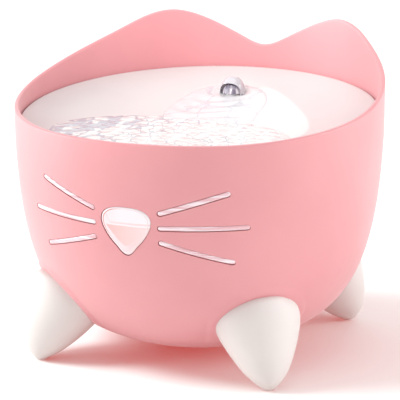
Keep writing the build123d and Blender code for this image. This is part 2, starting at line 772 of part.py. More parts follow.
def make_lead():
    """Pump lead: out of the pump's front, round its side and up the back wall."""
    side_x = -(pump_width / 2 + 9)
    low = pump_bottom + lead_entry_height
    back_y = body_radius - shell_wall - 13
    route = [(lead_x, pump_front - 1, low), (lead_x, pump_front - 13, low), (side_x, pump_front - 11, low + 3),
             (side_x - 2, pump_y, low + 7), (side_x + 2, pump_back + 4, low + 17), (-12, back_y - 9, low + 40),
             (0, back_y, gland_height - 24), (0, back_y, gland_height), (0, body_radius - 2.5, gland_height)]
    spans = [hypot(*(b - a for a, b in zip(p, q))) for p, q in zip(route, route[1:])]
    radii = []
    for index in range(1, len(route) - 1):
        before = Vector(*route[index]) - Vector(*route[index - 1])
        after = Vector(*route[index + 1]) - Vector(*route[index])
        half_turn = radians(before.get_angle(after) / 2)
        radii.append(0.45 * min(spans[index - 1], spans[index]) / tan(half_turn))
    path = FilletPolyline(*route, radius=radii)
    start = Plane(origin=path @ 0, z_dir=path % 0)
    return sweep(start * Circle(lead_radius), path=path)


# ---------------------------------------------------------------- write every node
save(make_bowl(), "bowl_shell")
save(make_window(), "nose_window")
save(make_gasket(), "nose_gasket")
for level, ends in whisker_ends.items():
    for side in ("left", "right"):
        strip = whisker_prism(ends, 0, side) & band(-whisker_proud, whisker_depth)
        save(strip, f"whisker_{level}_{side}")

foot, screw = make_foot(), make_screw()
pad = cylinder(pad_radius, 0, pad_height, x=body_radius - pad_inset)
for corner, angle in foot_angles.items():
    save(turned(foot, angle), f"foot_{corner}")
    save(turned(pad, angle), f"foot_pad_{corner}")
save(Compound([turned(screw, angle) for angle in foot_angles.values()]), "foot_screws")

save(make_tray(), "drinking_tray")
save(make_cap(), "spout_cap")
save(make_riser(), "riser_tube")
save(make_boot(), "riser_boot")
save(make_basket(), "filter_basket")
for name, layer in make_cartridge().items():
    save(layer, name)

core, coil = make_stator()
save(make_pump_housing(), "pump_housing")
save(make_end_cap(), "pump_end_cap")
save(core, "stator_core")
save(coil, "stator_coil")
save(make_impeller(), "impeller")
save(make_magnet(), "rotor_magnet")
front_end, back_end = shaft_ends()
save(rod(shaft_radius, front_end, back_end, z=rotor_z), "pump_shaft")
save(make_bushes(), "shaft_bushes")
save(make_cover(), "impeller_cover")
save(make_strainer(), "intake_strainer")
save(make_sponge(), "intake_sponge")
save(make_cups(), "suction_cups")
save(make_gland(), "lead_gland")
save(make_lead(), "pump_lead")
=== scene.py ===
# %% [markdown]
# # A cat-eared pet fountain
# The CAD frame holds every solid of the fountain. This lesson dresses the parts that show: the
# pink bowl, its claw feet, the clear nose and whiskers, the white drinking tray, the spout and
# the moving water. Each new piece is a surface worked out with numpy, in millimetres, and turned
# to metres when it becomes a mesh. Pieces that could be modelled by hand are worked out instead,
# so that they follow the CAD sizes and come out the same on every run.

# %% Load the frame
import json
from math import cos, radians, sin, tan

import bmesh
import bpy
import numpy as np
from mathutils import Matrix, Vector


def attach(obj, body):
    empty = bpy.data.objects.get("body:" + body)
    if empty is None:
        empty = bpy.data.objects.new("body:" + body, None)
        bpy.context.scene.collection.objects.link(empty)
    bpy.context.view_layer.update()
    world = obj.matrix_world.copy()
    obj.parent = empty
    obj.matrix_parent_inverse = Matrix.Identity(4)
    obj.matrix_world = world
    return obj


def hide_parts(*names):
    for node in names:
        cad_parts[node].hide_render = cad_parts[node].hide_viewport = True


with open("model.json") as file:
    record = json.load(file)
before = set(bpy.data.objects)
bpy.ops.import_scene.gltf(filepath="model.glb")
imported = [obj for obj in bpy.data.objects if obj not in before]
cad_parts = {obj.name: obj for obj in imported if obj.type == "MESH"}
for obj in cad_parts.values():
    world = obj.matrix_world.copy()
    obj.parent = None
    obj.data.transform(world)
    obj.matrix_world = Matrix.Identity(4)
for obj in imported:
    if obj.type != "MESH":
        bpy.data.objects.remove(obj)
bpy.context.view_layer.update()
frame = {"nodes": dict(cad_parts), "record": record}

MM = 0.001

# %% [markdown]
# ## Camera
# A long lens from about 1.26 m, a little to the right of the front and 14 degrees above the
# floor. A camera could be aimed with a Track To constraint. Here its three axes are written
# out, so that the picture can be repeated exactly.

# %% Camera
VIEW_BACK = Vector((0.3694, -0.8970, 0.2430)).normalized()
VIEW_RIGHT = Vector((0.9246, 0.3810, 0.0)).normalized()
VIEW_UP = VIEW_BACK.cross(VIEW_RIGHT)
AIM = Vector((0, 0, 0.09352)) + VIEW_RIGHT * 0.0004
CAMERA_DISTANCE = 1.2606
FOCAL_LENGTH, SENSOR_WIDTH = 175.27, 36.0        # mm

lens = bpy.data.cameras.new("studio_camera")
lens.sensor_width = SENSOR_WIDTH
lens.lens = FOCAL_LENGTH
lens.clip_start = 0.05
camera = bpy.data.objects.new("studio_camera", lens)
bpy.context.scene.collection.objects.link(camera)
camera.matrix_world = Matrix.Translation(AIM + VIEW_BACK * CAMERA_DISTANCE) @ Matrix(
    (VIEW_RIGHT, VIEW_UP, VIEW_BACK)).transposed().to_4x4()
bpy.context.scene.camera = camera
print("camera at", tuple(round(v, 4) for v in camera.matrix_world.translation))

# %% [markdown]
# ## From numbers to surfaces
# Three helpers carry every shape. A smooth curve through a few measured points gives a profile.
# A grid of points becomes a mesh of quads whose columns close on themselves. A cutter takes
# openings out of a finished mesh. Blender's own curves and Screw modifier could turn a profile
# too, but a grid can also change with the angle, as the bowl's rim does.


# %% A smooth curve through points
def curve_through(points, count, start=None, end=None, closed=False):
    """Points on the cubic spline through the given ones, evenly spaced along it.

    Its parameter is the straight distance from point to point. The slopes at the points solve
    one linear system, which says that the curvature is the same on both sides of each point;
    an end is straight, or has the slope given. Between two points each coordinate is the
    cubic with those two end values and slopes.
    """
    known = np.asarray(points, float)
    if closed:
        known = np.vstack([known, known[:1]])
    place = np.r_[0, np.cumsum(np.linalg.norm(np.diff(known, axis=0), axis=1))]
    gap, total = np.diff(place), len(known)
    rise = np.diff(known, axis=0) / gap[:, None]
    system, target = np.zeros((total, total)), np.zeros_like(known)
    inner = np.arange(1, total - 1)
    system[inner, inner - 1] = gap[inner]
    system[inner, inner] = 2 * (gap[inner - 1] + gap[inner])
    system[inner, inner + 1] = gap[inner - 1]
    target[inner] = 3 * (gap[inner, None] * rise[inner - 1] + gap[inner - 1, None] * rise[inner])
    if closed:
        system[0, 0], system[0, -1] = 1, -1
        system[-1, 0], system[-1, 1], system[-1, -2] = 2 * (gap[-1] + gap[0]), gap[-1], gap[0]
        target[-1] = 3 * (gap[0] * rise[-1] + gap[-1] * rise[0])
    else:
        system[0, :2], target[0] = ((2, 1), 3 * rise[0]) if start is None else ((1, 0), start)
        system[-1, -2:], target[-1] = ((1, 2), 3 * rise[-1]) if end is None else ((0, 1), end)
    slope = np.linalg.solve(system, target)
    at = np.linspace(0, place[-1], count, endpoint=not closed)
    k = np.clip(np.searchsorted(place, at, side="right") - 1, 0, total - 2)
    s, length = ((at - place[k]) / gap[k])[:, None], gap[k][:, None]
    return ((1 + 2 * s) * (1 - s) ** 2 * known[k] + s * (1 - s) ** 2 * length * slope[k]
            + s ** 2 * (3 - 2 * s) * known[k + 1] + s ** 2 * (s - 1) * length * slope[k + 1])


print("a curve through three points:", curve_through([(-1, 0), (0, 1), (1, 0)], 5).round(2).tolist())

# %% A grid of points becomes a mesh
def surface(name, grid, ring=False, sharp=40):
    """An object from a grid of points in mm, shaped (rows, columns, 3).

    Each point is joined to the next in its row and to the same one in the next row. Columns
    wrap round. With ring, rows wrap too. Points that coincide, as at a pole, become one.
    """
    rows, columns = grid.shape[:2]
    corner = np.arange(rows * columns).reshape(rows, columns)
    if ring:
        corner = np.vstack([corner, corner[:1]])
    right = np.roll(corner, -1, axis=1)
    quads = np.stack([corner[:-1], right[:-1], right[1:], corner[1:]], axis=-1).reshape(-1, 4)
    mesh = bpy.data.meshes.new(name)
    mesh.from_pydata(grid.reshape(-1, 3) * MM, [], quads)
    shell = bmesh.new()
    shell.from_mesh(mesh)
    bmesh.ops.remove_doubles(shell, verts=shell.verts, dist=1e-6)
    bmesh.ops.recalc_face_normals(shell, faces=shell.faces)
    shell.to_mesh(mesh)
    shell.free()
    mesh.shade_smooth()
    mesh.set_sharp_from_angle(angle=radians(sharp))
    made = bpy.data.objects.new(name, mesh)
    bpy.context.scene.collection.objects.link(made)
    return made


def cut(piece, cutters, sharp=40):
    """Takes the cutters' solids out of a piece, and removes the cutters."""
    for cutter in cutters:
        step = piece.modifiers.new(cutter.name, "BOOLEAN")
        step.operation, step.solver, step.object = "DIFFERENCE", "EXACT", cutter
    seen = piece.evaluated_get(bpy.context.evaluated_depsgraph_get())
    piece.data = bpy.data.meshes.new_from_object(seen)
    piece.modifiers.clear()
    for cutter in cutters:
        bpy.data.objects.remove(cutter)
    piece.data.shade_smooth()
    piece.data.set_sharp_from_angle(angle=radians(sharp))


def dress(piece, body, material, slot, *nodes):
    """The piece rides on its body, takes its finish and stands for its CAD nodes."""
    piece.data.materials.clear()
    piece.data.materials.append(material)
    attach(piece, body)
    if nodes:
        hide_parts(*nodes)
    print(f"{piece.name}: {len(piece.data.polygons)} faces, rides on {body}")


# %% [markdown]
# ## Materials
# Each finish starts from what the real one is. Colours are given as they look on a screen and
# turned to the linear values that the renderer works in. The fountain is nearly all moulded
# plastic, so one function makes that finish from its two tones, its gloss and its grain. Plain
# single colours would render too, but they look like paint: a mould leaves a faint grain, and
# the tone of a large moulding is never quite even.

# %% Colours and nodes
def linear(code):
    """An sRGB hex colour as linear red, green, blue and alpha."""
    share = np.array([int(code[i:i + 2], 16) for i in (1, 3, 5)]) / 255
    value = np.where(share <= 0.04045, share / 12.92, ((share + 0.055) / 1.055) ** 2.4)
    return (*value.tolist(), 1.0)


def add(tree, kind, inputs=None, **settings):
    """Adds one node. Each input gets a value, or the output socket that feeds it."""
    made = tree.nodes.new("ShaderNode" + kind)
    for name, value in settings.items():
        setattr(made, name, value)
    for name, value in (inputs or {}).items():
        if isinstance(value, bpy.types.NodeSocket):
            tree.links.new(value, made.inputs[name])
        else:
            made.inputs[name].default_value = value
    return made


def start_material(name):
    """An empty material: its tree, its main shader and the place on the object in metres."""
    material = bpy.data.materials.new(name)
    material.use_nodes = True
    tree = material.node_tree
    place = add(tree, "TexCoord").outputs["Object"]
    return material, tree, tree.nodes["Principled BSDF"], place


def ramp(tree, factor, stops):
    """A colour ramp fed by factor, from pairs of place and hex colour."""
    made = add(tree, "ValToRGB", {"Fac": factor})
    band = made.color_ramp
    while len(band.elements) < len(stops):
        band.elements.new(0.5)
    for element, (where, code) in zip(band.elements, stops):
        element.position, element.color = where, linear(code)
    return made.outputs["Color"]


CLOUD = 45.0                # size of the cloudy patches of tone in a moulding, mm


def moulded(name, colours, roughness, grain_mm, depth_mm, ior=1.5):
    """Injection-moulded plastic: a faint cloudiness of tone between two near colours, and the
    fine even grain that the mould's surface leaves, as roughness and as bump."""
    material, tree, shader, place = start_material(name)
    cloud = add(tree, "TexNoise", {"Vector": place, "Scale": 1 / (CLOUD * MM), "Detail": 2.0})
    grain = add(tree, "TexNoise", {"Vector": place, "Scale": 1 / (grain_mm * MM), "Detail": 3.0})
    tone = ramp(tree, cloud.outputs["Fac"], [(0.3, colours[0]), (0.7, colours[1])])
    tree.links.new(tone, shader.inputs["Base Color"])
    rough = add(tree, "MapRange", {"Value": grain.outputs["Fac"], "To Min": roughness * 0.85,
                                   "To Max": roughness * 1.15})
    tree.links.new(rough.outputs["Result"], shader.inputs["Roughness"])
    bump = add(tree, "Bump", {"Height": grain.outputs["Fac"], "Distance": depth_mm * MM,
                              "Strength": 1.0})
    tree.links.new(bump.outputs["Normal"], shader.inputs["Normal"])
    shader.inputs["IOR"].default_value = ior
    return material


print("mid grey on screen is", round(linear("#808080")[0], 3), "in linear light")

# %% Plastics
# Satin pink ABS: the mould is lightly textured, so highlights are broad and soft.
pink_abs = moulded("satin_abs_pink", ("#D68C90", "#DA9094"), 0.42, 0.9, 0.004)
pink_shader = pink_abs.node_tree.nodes["Principled BSDF"]
pink_shader.inputs["Sheen Weight"].default_value = 0.2
pink_shader.inputs["Sheen Roughness"].default_value = 0.5
# The feet have a finer, drier texture and a warm white.
foot_abs = moulded("matte_abs_warm_white", ("#D4C8C5", "#D9CDCA"), 0.55, 0.6, 0.006)
# The tray is polished, so that it wipes clean, and mirrors the pink wall round it.
tray_abs = moulded("polished_abs_white", ("#CECDCC", "#D2D1D0"), 0.035, 8.0, 0.001)
# The parts inside are plain: polypropylene, acetal, silicone and soft rubber, each with the
# gloss and the grain of its own mould, and a ground ceramic shaft.
finishes = {
    "pink_plastic": pink_abs,
    "foot_plastic": foot_abs,
    "white_plastic": tray_abs,
    "grey_plastic": moulded("plain_pp_grey", ("#DADCE0", "#E2E4E7"), 0.38, 0.7, 0.005),
    "black_plastic": moulded("spark_textured_abs_black", ("#17171A", "#1E1E21"), 0.5, 0.5, 0.015),
    "impeller_plastic": moulded("plain_pom_white", ("#ECECEA", "#F2F2F0"), 0.3, 0.8, 0.003),
    "silicone": moulded("moulded_silicone", ("#DADDE2", "#E3E6EA"), 0.45, 1.2, 0.004, 1.42),
    "white_rubber": moulded("soft_rubber_white", ("#ECE9E7", "#F2EFED"), 0.6, 0.4, 0.01),
    "shaft_ceramic": moulded("ground_ceramic", ("#F1EFEA", "#F5F3EF"), 0.2, 0.3, 0.001, 1.7),
}
print(len(finishes), "moulded finishes")

# %% [markdown]
# ## Clear plastic over water
# The nose is a thick clear window, and through it shows the water inside: bright above the water
# line, a pale pink below it, where the pink wall is seen through water. It could be real glass
# with water behind it. But from outside the eye sees no depth in so small a window, and clear
# plastic in a closed dark bowl would render grey. So what shows through it is painted into a
# milky body under a polished skin, whose tones follow the height: the light above the water line,
# the water's bright edge as a painted highlight, the pink wall under the water, and the flange
# behind as a paler band.

# %% Nose window
WATER_LINE = 105.3                                      # height of the water inside the bowl, mm
# The water's bright edge is a painted highlight.
MENISCUS = 0.4                                          # thickness of the water's bright edge
PINK_LINE_RISE, PINK_LINE_HALF = 1.8, 0.6               # a thin line over it, and half its width
BEND_START, BEND_END, BEND_RISE = -9.2, -14.2, 7.5      # that line climbs at the left edge
BAND_SLOPE, BAND_ROUND = 1.25, 3.0                      # the flange's band follows the lower tip
BAND_TOP, BAND_FULL = 88.6, 87.9
BAND_LOST, BAND_CLEAR = 7.0, 1.0                        # it fades out to the right, between these
WAVE_LENGTH, WAVE_HEIGHT = 16.667, 1.6                  # the water line isn't quite straight


def window_with_painted_water_view():
    """Polished clear plastic with the water behind it painted into its colour, which follows the
    height: milky above the water line, a bright meniscus as a painted highlight with a thin pink
    line over it, and pink below, deeper at the left. Near the lower edge the flange behind the
    window is painted as a paler band: where the height lies under the square root of x squared
    plus a small round, times a slope."""
    material, tree, shader, place = start_material("clear_pmma_painted_water_view")
    axes = add(tree, "SeparateXYZ", {"Vector": place}).outputs
    wave = add(tree, "TexNoise", {"Vector": place, "Scale": 1 / (WAVE_LENGTH * MM), "Detail": 1.0})
    level = add(tree, "Math", {0: wave.outputs["Fac"], 1: WAVE_HEIGHT * MM, 2: axes["Z"]},
                operation="MULTIPLY_ADD").outputs[0]
    across = add(tree, "MapRange", {"Value": axes["X"], "From Min": -12 * MM, "From Max": 12 * MM})
    # The wet and dry tones paint the view through the window: the pink wall under water, and the light
    # above it.
    wet = ramp(tree, across.outputs["Result"], [(0.0, "#E3A8A6"), (0.45, "#E7BEBC"), (1.0, "#ECCFD0")])
    dry = ramp(tree, across.outputs["Result"], [(0.0, "#E6CDD0"), (0.35, "#E6D9DE"), (1.0, "#EEE3E7")])
    line = (WATER_LINE - MENISCUS / 2) * MM
    above = add(tree, "MapRange", {"Value": level, "From Min": line, "From Max": line + MENISCUS * MM})
    tone = add(tree, "MixRGB", {"Fac": above.outputs["Result"], "Color1": wet, "Color2": dry})
    climb = add(tree, "MapRange", {"Value": axes["X"], "From Min": BEND_START * MM,
                                   "From Max": BEND_END * MM, "To Min": 0.0,
                                   "To Max": -BEND_RISE * MM}, interpolation_type="SMOOTHSTEP")
    bent = add(tree, "Math", {0: level, 1: climb.outputs["Result"]}, operation="ADD").outputs[0]
    reach = add(tree, "Math", {0: bent, 1: line + PINK_LINE_RISE * MM, 2: PINK_LINE_HALF * MM},
                operation="COMPARE").outputs[0]
    thin = add(tree, "Math", {0: reach, 1: 0.55}, operation="MULTIPLY").outputs[0]
    tone = add(tree, "MixRGB", {"Fac": thin, "Color1": tone.outputs[0], "Color2": linear("#E5B9B9")})
    # The flange behind the window is painted in as a paler band.
    squared = add(tree, "Math", {0: axes["X"], 1: axes["X"], 2: (BAND_ROUND * MM) ** 2},
                  operation="MULTIPLY_ADD").outputs[0]
    curve = add(tree, "Math", {0: squared, 1: 0.5}, operation="POWER").outputs[0]
    band = add(tree, "Math", {0: curve, 1: -BAND_SLOPE, 2: axes["Z"]}, operation="MULTIPLY_ADD").outputs[0]
    flange = add(tree, "MapRange", {"Value": band, "From Min": BAND_TOP * MM, "From Max": BAND_FULL * MM})
    fade = add(tree, "MapRange", {"Value": axes["X"], "From Min": BAND_LOST * MM,
                                  "From Max": BAND_CLEAR * MM})
    pale = add(tree, "Math", {0: flange.outputs["Result"], 1: fade.outputs["Result"]},
               operation="MULTIPLY").outputs[0]
    tone = add(tree, "MixRGB", {"Fac": pale, "Color1": tone.outputs[0], "Color2": linear("#E7CCD0")})
    tree.links.new(tone.outputs[0], shader.inputs["Base Color"])
    shader.inputs["Roughness"].default_value = 0.12
    shader.inputs["IOR"].default_value = 1.49
    return material


nose_clear = window_with_painted_water_view()
finishes["clear_plastic"] = nose_clear
print("nose window:", len(nose_clear.node_tree.nodes), "nodes")

# %% [markdown]
# ## Edges of the clear plastic
# A clear piece gathers the colour round it at its edges, as the rim of a magnifying glass does.
# Real refraction would need many bounces of light to show that on pieces this small. So that
# gathered colour is painted: the bevel's edge, the hidden sides and the whisker strips each get a
# finish of their own, in the tone that the plastic gathers there, as painted refraction. The
# hidden sides also stand for the red shade of the gap round each piece.

# %% Bevel edge, sides and strips
# The bevel's painted refraction deepens towards the upper left between these distances.
EDGE_PALE, EDGE_DEEP = 36.0, 43.0       # the edge deepens between these distances to the upper left, mm
STRIP_STREAK = (25.0, 25.0, 1.111)      # size of the streaks in a strip along x, y and z, mm


def bevel_edge_painted_refraction():
    """The bevel's inner edge, with the pink that the clear plastic gathers from the wall painted in
    as painted refraction: deep at the upper left, and lost in the window's own tone elsewhere."""
    material, tree, shader, place = start_material("clear_pmma_bevel_painted_refraction")
    side = add(tree, "VectorMath", {0: place, 1: (-1.0, 0.0, 0.3)}, operation="DOT_PRODUCT")
    depth = add(tree, "MapRange", {"Value": side.outputs["Value"], "From Min": EDGE_PALE * MM,
                                   "From Max": EDGE_DEEP * MM})
    tree.links.new(ramp(tree, depth.outputs["Result"], [(0.0, "#E9D2D4"), (1.0, "#C9695E")]),
                   shader.inputs["Base Color"])
    shader.inputs["Roughness"].default_value = 0.2
    return material


def clear_strip():
    """Clear strip over the pink wall: milky, with the wall's pink seen through it painted in as
    painted refraction, and thin streaks that run along it, as plastic has where it flowed into a
    narrow mould."""
    material, tree, shader, place = start_material("clear_pmma_strip")
    streak = add(tree, "Mapping", {"Vector": place, "Scale": [1 / (size * MM) for size in STRIP_STREAK]})
    smear = add(tree, "TexNoise", {"Vector": streak.outputs["Vector"], "Scale": 1.0, "Detail": 1.0})
    # The pink tones are painted refraction of the wall behind the strip.
    tone = ramp(tree, smear.outputs["Fac"], [(0.35, "#DCA8AD"), (0.5, "#E2BEC4"), (0.6, "#ECD8DC")])
    tree.links.new(tone, shader.inputs["Base Color"])
    shader.inputs["Roughness"].default_value = 0.15
    shader.inputs["IOR"].default_value = 1.49
    return material


nose_line, whisker_clear = bevel_edge_painted_refraction(), clear_strip()
# The hidden sides of the clear pieces are painted deep red: the pink of the wall round them
# gathered by the clear plastic, and the red shade of the narrow gap, as painted refraction and
# painted shade.
clear_side_painted_gap_shade = moulded("clear_pmma_side_painted_gap_shade", ("#DC2E24", "#DF352B"), 0.3, 2.0, 0.001)
print("clear finishes:", nose_line.name, whisker_clear.name, clear_side_painted_gap_shade.name)

# %% [markdown]
# ## The bowl
# The bowl is one thin moulding: a belly that rises from a small flat base to an upright wall,
# whose rim climbs into two ears at the back. It could be sculpted from a sphere, and Solidify
# could give one sheet its wall. Here a profile turned round the middle gives the belly, and only
# the wall's height changes with the angle, so that every size is the CAD's.

# %% Belly
BODY_RADIUS, WALL = 118.0, 3.0
BASE_RADIUS, BASE_HEIGHT, SHOULDER = 35.0, 6.0, 151.0
BASE_SLOPE = (0.98, 0.196)              # the belly leaves the base about 11 degrees up
# share of the outside radius, share of the height from the base to the shoulder
BELLY = [(0.543, 0.063), (0.720, 0.154), (0.848, 0.284), (0.926, 0.447), (0.967, 0.610), (0.992, 0.805)]

rise = SHOULDER - BASE_HEIGHT
belly = curve_through([(BASE_RADIUS, BASE_HEIGHT)]
                      + [(BODY_RADIUS * r, BASE_HEIGHT + rise * h) for r, h in BELLY]
                      + [(BODY_RADIUS, SHOULDER)], 400, start=BASE_SLOPE, end=(0, 1))


def wall_radius(height):
    """Outside radius of the bowl at a height, read from its belly curve."""
    return np.interp(height, belly[:, 1], belly[:, 0])


print("radius half-way up:", round(float(wall_radius(BASE_HEIGHT + rise / 2)), 1), "mm")

# %% Rim and ears
RIM_FRONT, EAR_TOP, VALLEY = 155.0, 200.8, 177.6
EAR_ANGLE = 148.6                       # the ear's tip, in degrees from the front
# degrees from the front, share of the climb from the front rim to the ear's tip
EAR_FLANK = [(0, 0), (20, 0), (36, .005), (50, .035), (62, .07), (75, .13), (90, .24), (104, .38),
             (119, .577), (131, .772), (140, .934)]
# degrees from the front, share of the climb from the valley between the ears to the tip
EAR_DIP = [(156.5, .866), (164.6, .573), (172.9, .207), (180, 0)]

rim_side = ([(a, RIM_FRONT + (EAR_TOP - RIM_FRONT) * s) for a, s in EAR_FLANK] + [(EAR_ANGLE, EAR_TOP)]
            + [(a, VALLEY + (EAR_TOP - VALLEY) * s) for a, s in EAR_DIP])
rim_round = np.array(rim_side + [(-a, z) for a, z in rim_side[-2:0:-1]])
turn = np.radians(rim_round[:, 0])
rim_curve = curve_through(np.c_[BODY_RADIUS * np.sin(turn), -BODY_RADIUS * np.cos(turn), rim_round[:, 1]],
                          1200, closed=True)
rim_turn = np.arctan2(rim_curve[:, 0], -rim_curve[:, 1])
rim_order = np.argsort(rim_turn)


def rim_height(angle):
    """Height of the rim at an angle from the front, in radians."""
    return np.interp(angle, rim_turn[rim_order], rim_curve[rim_order, 2], period=2 * np.pi)


print("rim", round(float(rim_height(0.0)), 1), "ear", round(float(rim_height(radians(EAR_ANGLE))), 1))

# %% [markdown]
# ## Foot outline
# Each claw foot is a stack of ovals. The same outline, grown by a few millimetres, marks the
# thin pad that the bowl's mould raises round the foot, so it is worked out first. The pad could
# be a separate sheet laid on the bowl, but its edge would then show as a step instead of the
# soft swell of one moulding.

# %% Foot sections
FOOT_TOP, FOOT_HALF_WIDTH, FOOT_LIFT = 58.0, 27.2, 0.6
FOOT_FRONT = BODY_RADIUS + 1.3          # the outermost point of a foot, from the bowl's middle
FOOT_ANGLES = (45, -45, 135, -135)
FOOT_REACH, FOOT_HEADROOM = 45, 70      # no foot is wider to a side, or higher, than this
# share of the height, share of the half width, the oval's front and back inside the outermost point
FOOT = [(0, .147, 6.3, 13.8), (.060, .294, 3.6, 21.5), (.181, .533, .8, 32.3), (.355, .754, .1, 44.3),
        (.529, .926, 1.5, 52.3), (.687, 1, 3.4, 54.3), (.826, .897, 5.8, 46.3), (.930, .632, 8.6, 33.3),
        (.993, .240, 11.8, 21.3), (1.0, 0.0, 16.5, 16.5)]
foot_rows = curve_through([(FOOT_LIFT + (FOOT_TOP - FOOT_LIFT) * h, FOOT_HALF_WIDTH * w, tip, heel)
                           for h, w, tip, heel in FOOT], 160)
foot_rows[:, 1] = np.maximum(foot_rows[:, 1], 0)


def pad_depth(points):
    """How far a point of the bowl lies inside a foot's outline, in mm: negative outside it.

    The outline is drawn on the wall as sideways distance against height. The depth is the
    distance to its nearest point, and the sign comes from its width at that height."""
    best = np.full(points.shape[:-1], -float(FOOT_REACH))
    side = np.r_[foot_rows[:, 1], -foot_rows[::-1, 1]]
    level = np.r_[foot_rows[:, 0], foot_rows[::-1, 0]]
    for angle in np.radians(FOOT_ANGLES):
        across = points[..., 0] * np.cos(angle) + points[..., 1] * np.sin(angle)
        out = points[..., 0] * np.sin(angle) - points[..., 1] * np.cos(angle)
        near = (out > 0) & (np.abs(across) < FOOT_REACH) & (points[..., 2] < FOOT_HEADROOM)
        x, z = across[near], points[..., 2][near]
        far = np.sqrt((x[:, None] - side) ** 2 + (z[:, None] - level) ** 2).min(axis=1)
        inside = np.abs(x) < np.interp(z, foot_rows[:, 0], foot_rows[:, 1], right=0)
        best[near] = np.maximum(best[near], np.where(inside, far, -far))
    return best


print("foot rows:", len(foot_rows), "from", FOOT_LIFT, "to", FOOT_TOP, "mm")

# %% [markdown]
# ## The bowl's skin
# A wall seen from above needs its inside, its rounded rim and the ledge that carries the tray.
# They could be separate pieces, but then seams would open where they meet. So one profile runs up
# the outside, over the rim and down the inside, and the grid closes at the middle of the base.

# %% The bowl's skin
COLUMNS = 384
PAD_RAISE, PAD_MARGIN, PAD_EDGE = 0.8, 4.5, 1.2
PAD_FADE = (14.0, 30.0)                 # the pad dies out between these heights
RIM_ROUND = 1.2
INSIDE = BODY_RADIUS - WALL
LEDGE_IN = 110.0                        # radius of the ledge's edge
# radius and height down the inside: the wall, the ledge's top, its edge, and back to the wall
LEDGE = [(INSIDE, 145.0), (INSIDE, 138.3), (INSIDE - 0.3, 138.0), (LEDGE_IN + 0.4, 138.0),
         (LEDGE_IN, 137.6), (LEDGE_IN, 134.4), (LEDGE_IN + 0.4, 133.8), (INSIDE - 0.9, 129.2)]
LEDGE_FOOT = 128.0                      # under this height the inside follows the outside again
BASE_RINGS, FLOOR_RINGS = (0.0, 12.0, 24.0, 32.0), (30.0, 15.0, 0.0)    # radii, under and in the base


def bowl_grid():
    """The bowl's closed skin: up the outside, over the rim, down the inside and across.

    A row is one step of the profile. Its radius is the same all round; above the shoulder its
    height is a share of the way up to the rim at that angle. The rim's two edges are quarter
    rounds. Inside, the profile is the outside one moved in by the wall, with a ledge. The pads
    lift the outside by a smooth step of the depth inside a foot's outline."""
    angle = np.linspace(-np.pi, np.pi, COLUMNS, endpoint=False)
    rim = rim_height(angle)
    step = belly[np.linspace(0, len(belly) - 1, 96).astype(int)]
    along = np.gradient(step, axis=0)
    outward = np.c_[along[:, 1], -along[:, 0]] / np.linalg.norm(along, axis=1)[:, None]
    inner = (step - outward * WALL)[::-2]
    share = np.linspace(0, 1, 22)[1:, None]
    quarter = np.radians(np.linspace(0, 90, 7))[1:, None]

    def level(radius, height):
        """Rows of (radius, height), each as long as the angle, from arrays of either."""
        return np.stack(np.broadcast_arrays(np.asarray(radius, float), np.asarray(height, float)), -1)

    flat = np.ones_like(rim)
    rows = [level(r * flat, BASE_HEIGHT)[None] for r in BASE_RINGS]
    rows.append(level(step[:, :1] * flat, step[:, 1:] * flat))
    upright = SHOULDER + (rim - RIM_ROUND - SHOULDER) * share
    rows.append(level(BODY_RADIUS * np.ones_like(upright), upright))
    rows.append(level(BODY_RADIUS - RIM_ROUND * (1 - np.cos(quarter)) * flat,
                      rim - RIM_ROUND * (1 - np.sin(quarter))))
    rows.append(level(INSIDE + RIM_ROUND * (1 - np.cos(quarter[::-1])) * flat,
                      rim - RIM_ROUND * (1 - np.sin(quarter[::-1]))))
    rows.append(level(INSIDE * np.ones_like(upright), upright[::-1]))
    rows += [level(radius * flat, height)[None] for radius, height in LEDGE]
    below = inner[inner[:, 1] < LEDGE_FOOT]
    rows.append(level(below[:, :1] * flat, below[:, 1:] * flat))
    rows += [level(r * flat, BASE_HEIGHT + WALL)[None] for r in FLOOR_RINGS]
    profile = np.concatenate(rows)
    radius, height = profile[..., 0], profile[..., 1]
    grid = np.stack([radius * np.sin(angle), -radius * np.cos(angle), height], -1)
    outer = slice(4, 4 + len(step))
    lift = np.clip((pad_depth(grid[outer]) + PAD_MARGIN) / PAD_EDGE, 0, 1)
    low = np.clip((grid[outer][..., 2] - PAD_FADE[0]) / (PAD_FADE[1] - PAD_FADE[0]), 0, 1)
    lift = PAD_RAISE * lift * lift * (3 - 2 * lift) * low * low * (3 - 2 * low)
    grid[outer, :, 0] += lift * outward[:, :1] * np.sin(angle)
    grid[outer, :, 1] -= lift * outward[:, :1] * np.cos(angle)
    grid[outer, :, 2] += lift * outward[:, 1:]
    return grid


bowl_skin = surface("bowl_skin", bowl_grid(), sharp=50)
print("bowl skin:", len(bowl_skin.data.polygons), "faces")

# %% [markdown]
# ## Nose window
# The nose window is a soft triangle with a bevelled edge and a crowned middle, held from inside
# by a wider flange. It could be drawn as a flat curve, filled and bent with a Shrinkwrap. Here
# its outline is drawn flat as width and height, and each of its rows is laid on the wall at its
# own distance from it, so that the window follows the belly exactly.

# %% Laid on the wall
def on_wall(flat, proud):
    """Points drawn as (x, z), set on the front of the bowl, a distance proud of its wall."""
    radius = wall_radius(flat[..., 1]) + proud
    return np.stack([flat[..., 0], -np.sqrt(radius ** 2 - flat[..., 0] ** 2), flat[..., 1]], -1)


print("the wall 100 mm up:", on_wall(np.array((0.0, 100.0)), 0).round(1).tolist())

# %% Nose outline and lens
NOSE_HALF_WIDTH, NOSE_BOTTOM, NOSE_HEIGHT = 15.9, 85.9, 30.1
